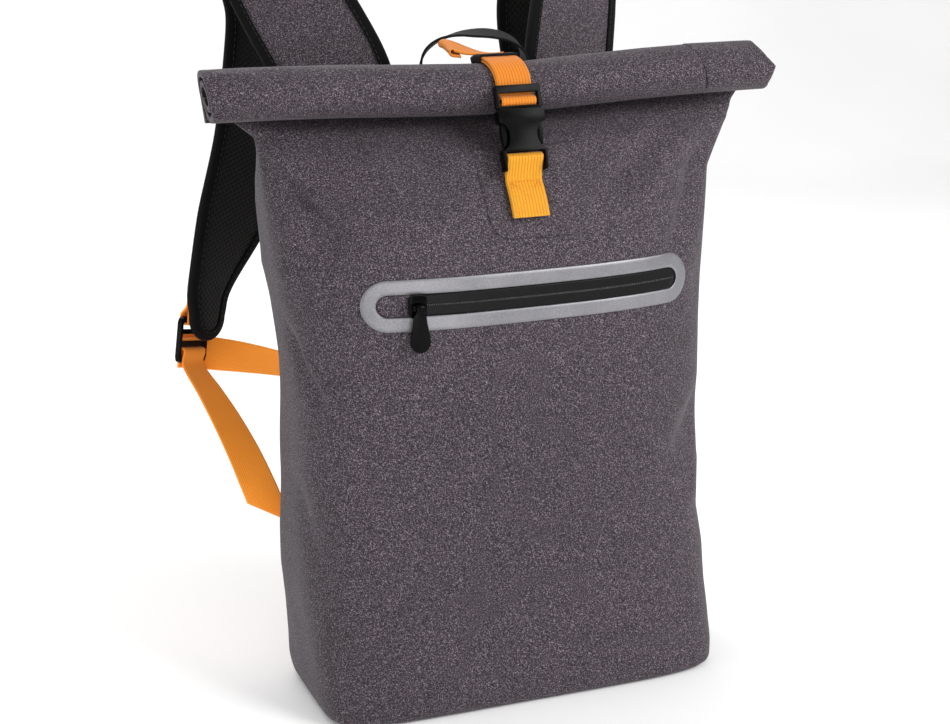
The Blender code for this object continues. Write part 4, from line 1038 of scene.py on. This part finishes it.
def makeTongue():
    thick = webbing["thick"]
    x = buckle["aside"]
    gap = 3 * fit + patch["thick"] + fit + thick / 2
    bar = onBuckle(0, buckle["tongueBar"], 0)
    sewn = []
    for share in (0, 0.34, 0.67, 1):
        z = tongue["foot"] + share * tongue["sewn"]
        sewn.append((smoothFaceY(x, z) - gap, z))
    apart = thick + fit
    wrap = arc((bar.y, bar.z), tongue["barRadius"] + fit + thick / 2, 8, 172, 8)
    front = []
    for k, (y, z) in enumerate(sewn):
        ahead = np.subtract(sewn[min(k + 1, 3)], sewn[max(k - 1, 0)])
        ahead = ahead / np.linalg.norm(ahead)
        lap = tongue["lap"] if k == 0 else 0.0
        front.insert(0, (y - apart * ahead[1] - lap * ahead[0], z + apart * ahead[0] - lap * ahead[1]))
    ribbon(
        "tongueLoop", [(x, y, z) for y, z in sewn + wrap + front], (1, 0, 0), webbing["width"], thick,
        "tongue", "orange_webbing", ["tongue"], spacing=0.0012,
    )
    half = 0.40 * webbing["width"]
    low, high = front[-1][1] + 0.0028, front[0][1] - 0.0015
    table = np.array(sorted((z, y) for y, z in front))

    def over(a, z):
        return (x + a, float(np.interp(z, table[:, 0], table[:, 1])) - thick / 2 - 0.0001, z)

    def walk(corners):
        path = []
        for (a0, z0), (a1, z1) in zip(corners, corners[1:]):
            path += [over(a0 + (a1 - a0) * t, z0 + (z1 - z0) * t) for t in np.linspace(0, 1, 8)]
        return path

    lines = (
        ("BoxStitch", "box", [(-half, high), (-half, low), (half, low), (half, high), (-half, high)]),
        ("CrossStitch1", "cross", [(-half, low), (half, high)]),
        ("CrossStitch2", "cross", [(-half, high), (half, low)]),
    )
    for word, size, corners in lines:
        path = walk(corners)
        outs = [(0, -1, 0)] * len(path)
        stitches("tongue" + word, path, outs, "orangeThread", "orange_webbing", *tongue[size])


makeClosure()
makeTongue()
print("closure made")


# Shoulder pads
pad = {
    "width": 0.078,
    "thick": 0.0072,
    "binding": 0.0075,
    "yoke": 0.003,
    "stations": 96,
    "columns": 17,
    "pressure": 4.0,
    "mostSwell": 0.0016,
    "steps": 16,
    "stitch": (0.0030, 0.0016, 0.00026),  # length, gap and radius
}
# across, back, height, width share, turn in degrees, as shares of the bag
padRows = (
    (0.255, 0.000, 0.915, 0.96, 5),
    (0.270, 0.030, 0.985, 0.98, -6),
    (0.294, 0.080, 1.055, 1.00, -20),
    (0.352, 0.285, 1.165, 1.00, -25),
    (0.385, 0.435, 1.240, 1.00, -18),
    (0.372, 0.595, 1.232, 1.00, -8),
    (0.345, 0.660, 1.150, 1.00, 0),
    (0.358, 0.675, 1.050, 1.00, 5),
    (0.400, 0.675, 0.915, 0.97, 12),
    (0.487, 0.655, 0.770, 0.80, 23),
    (0.550, 0.635, 0.660, 0.56, 34),
    (0.563, 0.615, 0.606, 0.47, 40),
)


def padStations(count):
    first = padRows[0]
    root = smoothFaceY(first[0] * bag["width"], first[2] * bag["neckHeight"], True)
    root += pad["yoke"] + 10 * fit + pad["thick"] / 2
    rows = []
    for a, b, c, d, e in padRows:
        rows.append((-a * bag["width"], root + b * bag["depth"], c * bag["neckHeight"], d * pad["width"] / 2, e))
    dense = smoothLine(rows, 0.002)
    pick = np.linspace(0, len(dense) - 1, count)
    even = np.stack([np.interp(pick, np.arange(len(dense)), dense[:, k]) for k in range(5)], axis=1)
    sides = [tuple(Matrix.Rotation(math.radians(t), 3, "Z") @ Vector((1, 0, 0))) for t in even[:, 4]]
    return [found + (even[k, 3],) for k, found in enumerate(framesOf(even[:, :3], sides))]


def cushionGrid(line, inset):
    # Top and bottom of the foam, before it swells: rows of points across
    shares = np.linspace(-1, 1, pad["columns"])
    stations = [(point, across, out, half - inset) for point, _, across, out, half in line]
    point, along, across, out, half = line[-1]
    half -= inset
    for degrees in (12, 24, 36, 48, 60, 72, 82):
        angle = math.radians(degrees)
        stations.append((point + along * half * math.sin(angle), across, out, half * math.cos(angle)))
    deep = pad["thick"] / 2
    top, bottom, runs, run = [], [], [], 0.0
    for k, (centre, across, out, half) in enumerate(stations):
        if k:
            run += (centre - stations[k - 1][0]).length
        crown = [math.sqrt(max(0.0, 1 - 0.55 * s**4)) for s in shares]
        top.append([centre + across * s * half + out * deep * c * 0.96 for s, c in zip(shares, crown)])
        bottom.append([centre + across * s * half - out * deep * c * 0.92 for s, c in zip(shares, crown)])
        runs.append((run, half))
    return top, bottom, stations, runs


def swell(top, bottom):
    # The foam pushes its cover out between the bound edges: one closed cushion, simulated and then capped
    rows, columns = len(top), pad["columns"]
    rest = [p for row in top for p in row] + [p for row in bottom for p in row]
    count = rows * columns
    mesh = bpy.data.meshes.new("foamTrial")
    mesh.from_pydata([tuple(p) for p in rest], [], sheetFaces(rows, columns))
    finishMesh(mesh)
    trial = newObject("foamTrial", mesh)
    held = trial.vertex_groups.new(name="bound")
    sides, ends = (0, columns - 1), (0, rows - 1)
    held.add([k for k in range(2 * count) if k % columns in sides or k % count // columns in ends], 1.0, "ADD")
    cloth = trial.modifiers.new("swell", "CLOTH")
    for key, value in {
        "quality": 6, "mass": 0.3, "tension_stiffness": 30, "compression_stiffness": 30, "bending_stiffness": 2.0,
        "use_pressure": True, "uniform_pressure_force": pad["pressure"], "vertex_group_mass": "bound",
    }.items():
        setattr(cloth.settings, key, value)
    cloth.settings.effector_weights.gravity = 0
    cloth.collision_settings.use_collision = False
    for step in range(1, pad["steps"] + 1):
        bpy.context.scene.frame_set(step)
    done = trial.evaluated_get(bpy.context.evaluated_depsgraph_get())
    moved = [v.co.copy() for v in done.data.vertices]
    bpy.context.scene.frame_set(1)
    bpy.data.objects.remove(trial, do_unlink=True)
    final = []
    for before, after in zip(rest, moved):
        shift = after - before
        if shift.length > pad["mostSwell"]:
            shift *= pad["mostSwell"] / shift.length
        final.append(before + shift)
    cut = [final[k : k + columns] for k in range(0, 2 * count, columns)]
    return cut[:rows], cut[rows:]


def slab(surface, stations, middle):
    # Closed piece between a swollen surface and the pad's middle
    points = []
    for row, (centre, across, out, half) in zip(surface, stations):
        points += list(row)
        points += [centre + across * half + out * middle, centre - across * half + out * middle]
    return points, ringFaces(len(surface), pad["columns"] + 2, capped=True)


def makePads():
    line = padStations(pad["stations"])
    inset = pad["binding"] + 0.0002
    top, bottom, stations, runs = cushionGrid(line, inset)
    top, bottom = swell(top, bottom)
    uv = []
    for run, half in runs:
        uv += [(s * half, run) for s in np.linspace(-1, 1, pad["columns"])] + [(half, run), (-half, run)]
    points, faces = slab(top, stations, -0.0004)
    for made in addPair("shoulderPad", points, faces, "fabric", "coated_fabric", ["strap_pad"], uv=uv, sharpness=75):
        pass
    points, faces = slab(bottom, stations, -0.0008)
    addPair("padMesh", points, faces, "mesh", "black_mesh", ["pad_mesh"], uv=uv, sharpness=75)

    wide, deep = pad["binding"] / 2, pad["thick"] / 2
    rail = [(point - across * (half - wide), across * -1, out) for point, _, across, out, half in line]
    point, along, across, out, half = line[-1]
    for degrees in range(172, 4, -8):
        angle = math.radians(degrees)
        away = across * math.cos(angle) + along * math.sin(angle)
        rail.append((point + away * (half - wide), away, out))
    rail += [(point + across * (half - wide), across, out) for point, _, across, out, half in line[::-1]]
    section = [(-wide, -1.06 * deep), (-0.2 * wide, -1.08 * deep)]
    far = math.pi / 2 - 0.3
    section += [(wide * (0.3 + 0.7 * math.cos(a)), 1.05 * deep * math.sin(a)) for a in np.linspace(-far, far, 9)]
    section += [(-0.2 * wide, 1.08 * deep), (-wide, 1.06 * deep)]
    section += [(-1.04 * wide, 0.6 * deep), (-1.04 * wide, -0.6 * deep)]
    points, uv, run = [], [], 0.0
    for k, (centre, away, out) in enumerate(rail):
        if k:
            run += (centre - rail[k - 1][0]).length
        reach = 0.0
        for j, (a, b) in enumerate(section):
            if j:
                reach += math.hypot(a - section[j - 1][0], b - section[j - 1][1])
            points.append(centre + away * a + out * b)
            uv.append((reach, run))
    faces = ringFaces(len(rail), len(section), capped=True)
    addPair("padBinding", points, faces, "binding", "black_webbing", ["pad_binding"], uv=uv, sharpness=60)
    for name, side in (("padStitchOuter", 1), ("padStitchInner", -1)):
        path = [centre - away * 0.62 * wide + out * side * 1.09 * deep for centre, away, out in rail]
        outs = [out * side for _, _, out in rail]
        stitches(name, path, outs, "blackThread", "black_webbing", *pad["stitch"], pair=True)


makePads()
print("pads made")


# Ladder locks, lower webbing and tails
lock = {"length": 0.034, "thick": 0.0042, "loopBar": 0.0019, "strapBar": 0.0200}
lower = {"height": 0.283, "across": 0.490, "slant": 1.1, "lean": (0.86, 0.0, 0.42)}


def makeLowerStraps():
    point, along, across, out, half = padStations(22)[-1]
    thick = webbing["thick"]
    lift = pad["thick"] / 2 + 3 * fit + thick + fit + lock["thick"] / 2
    centre = point + along * half - across * 0.004 + out * lift
    turn = lock["thick"] / 2 + fit + thick / 2
    reach = lock["length"] / 2
    bar = -reach + lock["loopBar"]
    over = -turn + thick + fit
    flat = [(bar - 0.022, -turn), (bar - 0.010, -turn), (bar + 0.7 * turn, -turn), (bar + turn, -0.7 * turn)]
    flat += [(bar + turn, 0.7 * turn), (bar + 0.7 * turn, turn), (bar - 0.0036, turn)]
    flat += [(bar - 0.010, over), (bar - 0.022, over)]
    line = [centre + along * b + out * c for b, c in flat]
    ribbon(
        "lockLoop", line, tuple(across), 0.9 * webbing["width"], thick, "lower", "orange_webbing", ["lock_loop"],
        pair=True, spacing=0.0012,
    )
    for word in ("Left", "Right"):
        easedNode("ladderLock" + word, "ladder_lock_" + word.lower(), "acetal", 0.0006)
    bar = -reach + lock["strapBar"]
    z = lower["height"] * bag["neckHeight"]
    layers = 3 * fit + 1.5 * thick
    end = Vector((-lower["across"] * bag["width"], smoothFaceY(0.43 * bag["width"], z, True) + layers + 0.0065, z))
    flat = [(bar - turn - 0.0001, -0.0010), (bar - turn, 0.7 * turn)]
    flat += [(bar - 0.7 * turn, turn), (bar + 0.7 * turn, turn)]
    flat += [(bar + turn, 0.7 * turn), (bar + turn, -0.5 * turn)]
    flat += [(bar + 1.7 * turn, -1.05 * turn), (reach + 0.002, -1.05 * turn)]
    run = [centre + along * b + out * c for b, c in flat]
    sides = [tuple(across)] * len(run)
    leave = run[-1]
    for share in (0.2, 0.4, 0.6, 0.8, 1.0):
        run.append(leave.lerp(end, share) + Vector((0.004, 0.004, 0)) * math.sin(math.pi * share))
        sides.append(tuple(across.lerp(Vector(lower["lean"]), share)))
    ribbon(
        "lowerWebbing", run, sides, webbing["width"], thick, "lower", "orange_webbing", ["lower_webbing"],
        pair=True, slant=lower["slant"], spacing=0.0014,
    )
    lift = out * (turn + thick + fit)
    places = ((-0.007, 0.009), (0.004, 0.009), (0.016, 0.010), (0.025, 0.011))
    line = [centre + across * a + along * b + lift for a, b in places]
    first = line[-1]
    far = Vector((-0.365 * bag["width"], first.y - 0.034, first.z - 0.008))
    line += [first.lerp(far, s) + Vector((0, 0.004 * math.sin(math.pi * s), 0)) for s in (0.33, 0.66, 1.0)]
    low = Vector((0.0, -0.62, 0.78))
    sides = [tuple((-along).lerp(low, max(0.0, (k - 3) / 3))) for k in range(7)]
    ribbon(
        "webbingTail", line, sides, webbing["width"], thick, "lower", "orange_webbing", ["webbing_tail"], pair=True,
    )


makeLowerStraps()


# Back panel pieces and the haul loop
haul = {"width": 0.018, "span": 0.075, "head": 0.450, "back": 0.033}
# left half of the haul loop: across and up, as shares of its half span and its rise
haulRows = ((-0.88, 0), (-0.93, 0.25), (-0.98, 0.5), (-1.0, 0.7), (-0.9, 0.84), (-0.66, 0.94), (-0.33, 0.99), (0, 1))


def makeBack():
    up, wide, tall = bag["neckHeight"], bag["width"], 0.42 * webbing["width"]
    low, high = 0.275 * up - tall, 0.275 * up + tall
    tab = webbing["thick"] + fit
    yoke = pad["yoke"] + 2 * fit
    # name, left and right, low and high, columns and rows, thickness, look, slot, solid
    for name, left, right, low, high, columns, rows, thick, look, slot, node in (
        ("yokePanel", -0.41, 0.41, 0.85 * up, 0.93 * up, 60, 12, yoke, "fabric", "coated_fabric", "strap_yoke"),
        ("anchorTabLeft", -0.468, -0.36, low, high, 16, 7, tab, "lower", "orange_webbing", "anchor_tab_left"),
        ("anchorTabRight", 0.36, 0.468, low, high, 16, 7, tab, "lower", "orange_webbing", "anchor_tab_right"),
    ):
        xs = np.linspace(left * wide, right * wide, columns)
        grid = [[(x, z) for x in xs] for z in np.linspace(low, high, rows)]
        onFace(name, grid, 0.0002, thick, look, slot, [node], behind=True)
    half = haul["span"] / 2
    front = haul["back"] - haul["width"] / 2
    low, high = 0.8 * bag["neckHeight"], bag["neckHeight"]
    for _ in range(30):
        middle = (low + high) / 2
        if smoothFaceY(0.88 * half, middle, True) > front - fit:
            low = middle
        else:
            high = middle
    foot = high + 2 * fit
    line = []
    for a, b in haulRows + tuple((-a, b) for a, b in haulRows[-2::-1]):
        line.append((a * half, haul["back"], foot + b * (haul["head"] - foot)))
    sides = []
    for s in np.linspace(0, 1, len(line)):
        sides.append((0.34 * (1 - s), 0.94, -0.27 + 0.5 * min(1.0, max(0.0, (s - 0.33) / 0.2))))
    ribbon("haulLoop", line, sides, haul["width"], webbing["thick"], "black", "black_webbing", ["haul_loop"])


makeBack()
print("straps made")


# Pale floor and soft studio light
studio = {
    "floor": ("fafafa", "ffffff"),
    "world": 0.62,
    "aim": (0, 0, 0.25),
    # name, watts, size, place
    "lights": (
        ("keyLight", 40.0, 1.1, (1.25, -1.55, 1.45)),
        ("frontLight", 18.0, 1.3, (-0.4, -2.1, 0.2)),
        ("sideLight", 13.0, 1.2, (-2.3, -0.2, 0.5)),
        ("rimLight", 15.0, 1.2, (-0.3, 1.2, 1.7)),
    ),
}


def makeStudio():
    # Board under matt white paint: even, almost no grain.
    dim, bright = studio["floor"]
    look, tree, sockets = newLook("paintedBoard", bright, 0.8, {})
    place = addNode(tree, "ShaderNodeTexCoord").outputs["Object"]
    mottle = addNode(tree, "ShaderNodeTexNoise", {"Scale": perMetre(333.3), "Detail": 2.0}, {"Vector": place})
    stops = ((0.3, dim), (0.7, bright))
    addNode(tree, "ShaderNodeValToRGB", {"stops": stops}, {"Fac": mottle}, sockets["Base Color"])
    # a flat floor that curves up behind the bag
    start, bend = 1.6, 0.9
    rows = [(-4.0, 0.0), (0.6, 0.0), (start, 0.0)]
    for t in np.linspace(0.1, math.pi / 2, 16):
        rows.append((start + bend * math.sin(t), bend - bend * math.cos(t)))
    rows.append((start + bend, 4.5))
    points = [(x, y, z - 0.0002) for y, z in rows for x in (-5, 5)]
    faces = [(2 * k, 2 * k + 1, 2 * k + 3, 2 * k + 2) for k in range(len(rows) - 1)]
    mesh = bpy.data.meshes.new("studioFloor")
    mesh.from_pydata(points, [], faces)
    for face in mesh.polygons:
        face.use_smooth = True
    mesh.materials.append(look)
    newObject("studioFloor", mesh)
    world = bpy.data.worlds.new("softSky")
    world.use_nodes = True
    sky = world.node_tree.nodes["Background"].inputs
    sky["Color"].default_value = linear("ffffff")
    sky["Strength"].default_value = studio["world"]
    bpy.context.scene.world = world
    for name, power, size, place in studio["lights"]:
        data = bpy.data.lights.new(name, "AREA")
        data.energy = power
        data.size = size
        lamp = newObject(name, data)
        lamp.location = place
        lamp.rotation_euler = (Vector(studio["aim"]) - Vector(place)).to_track_quat("-Z", "Y").to_euler()
    bpy.context.scene.view_settings.view_transform = "Standard"


makeStudio()
print("studio made")
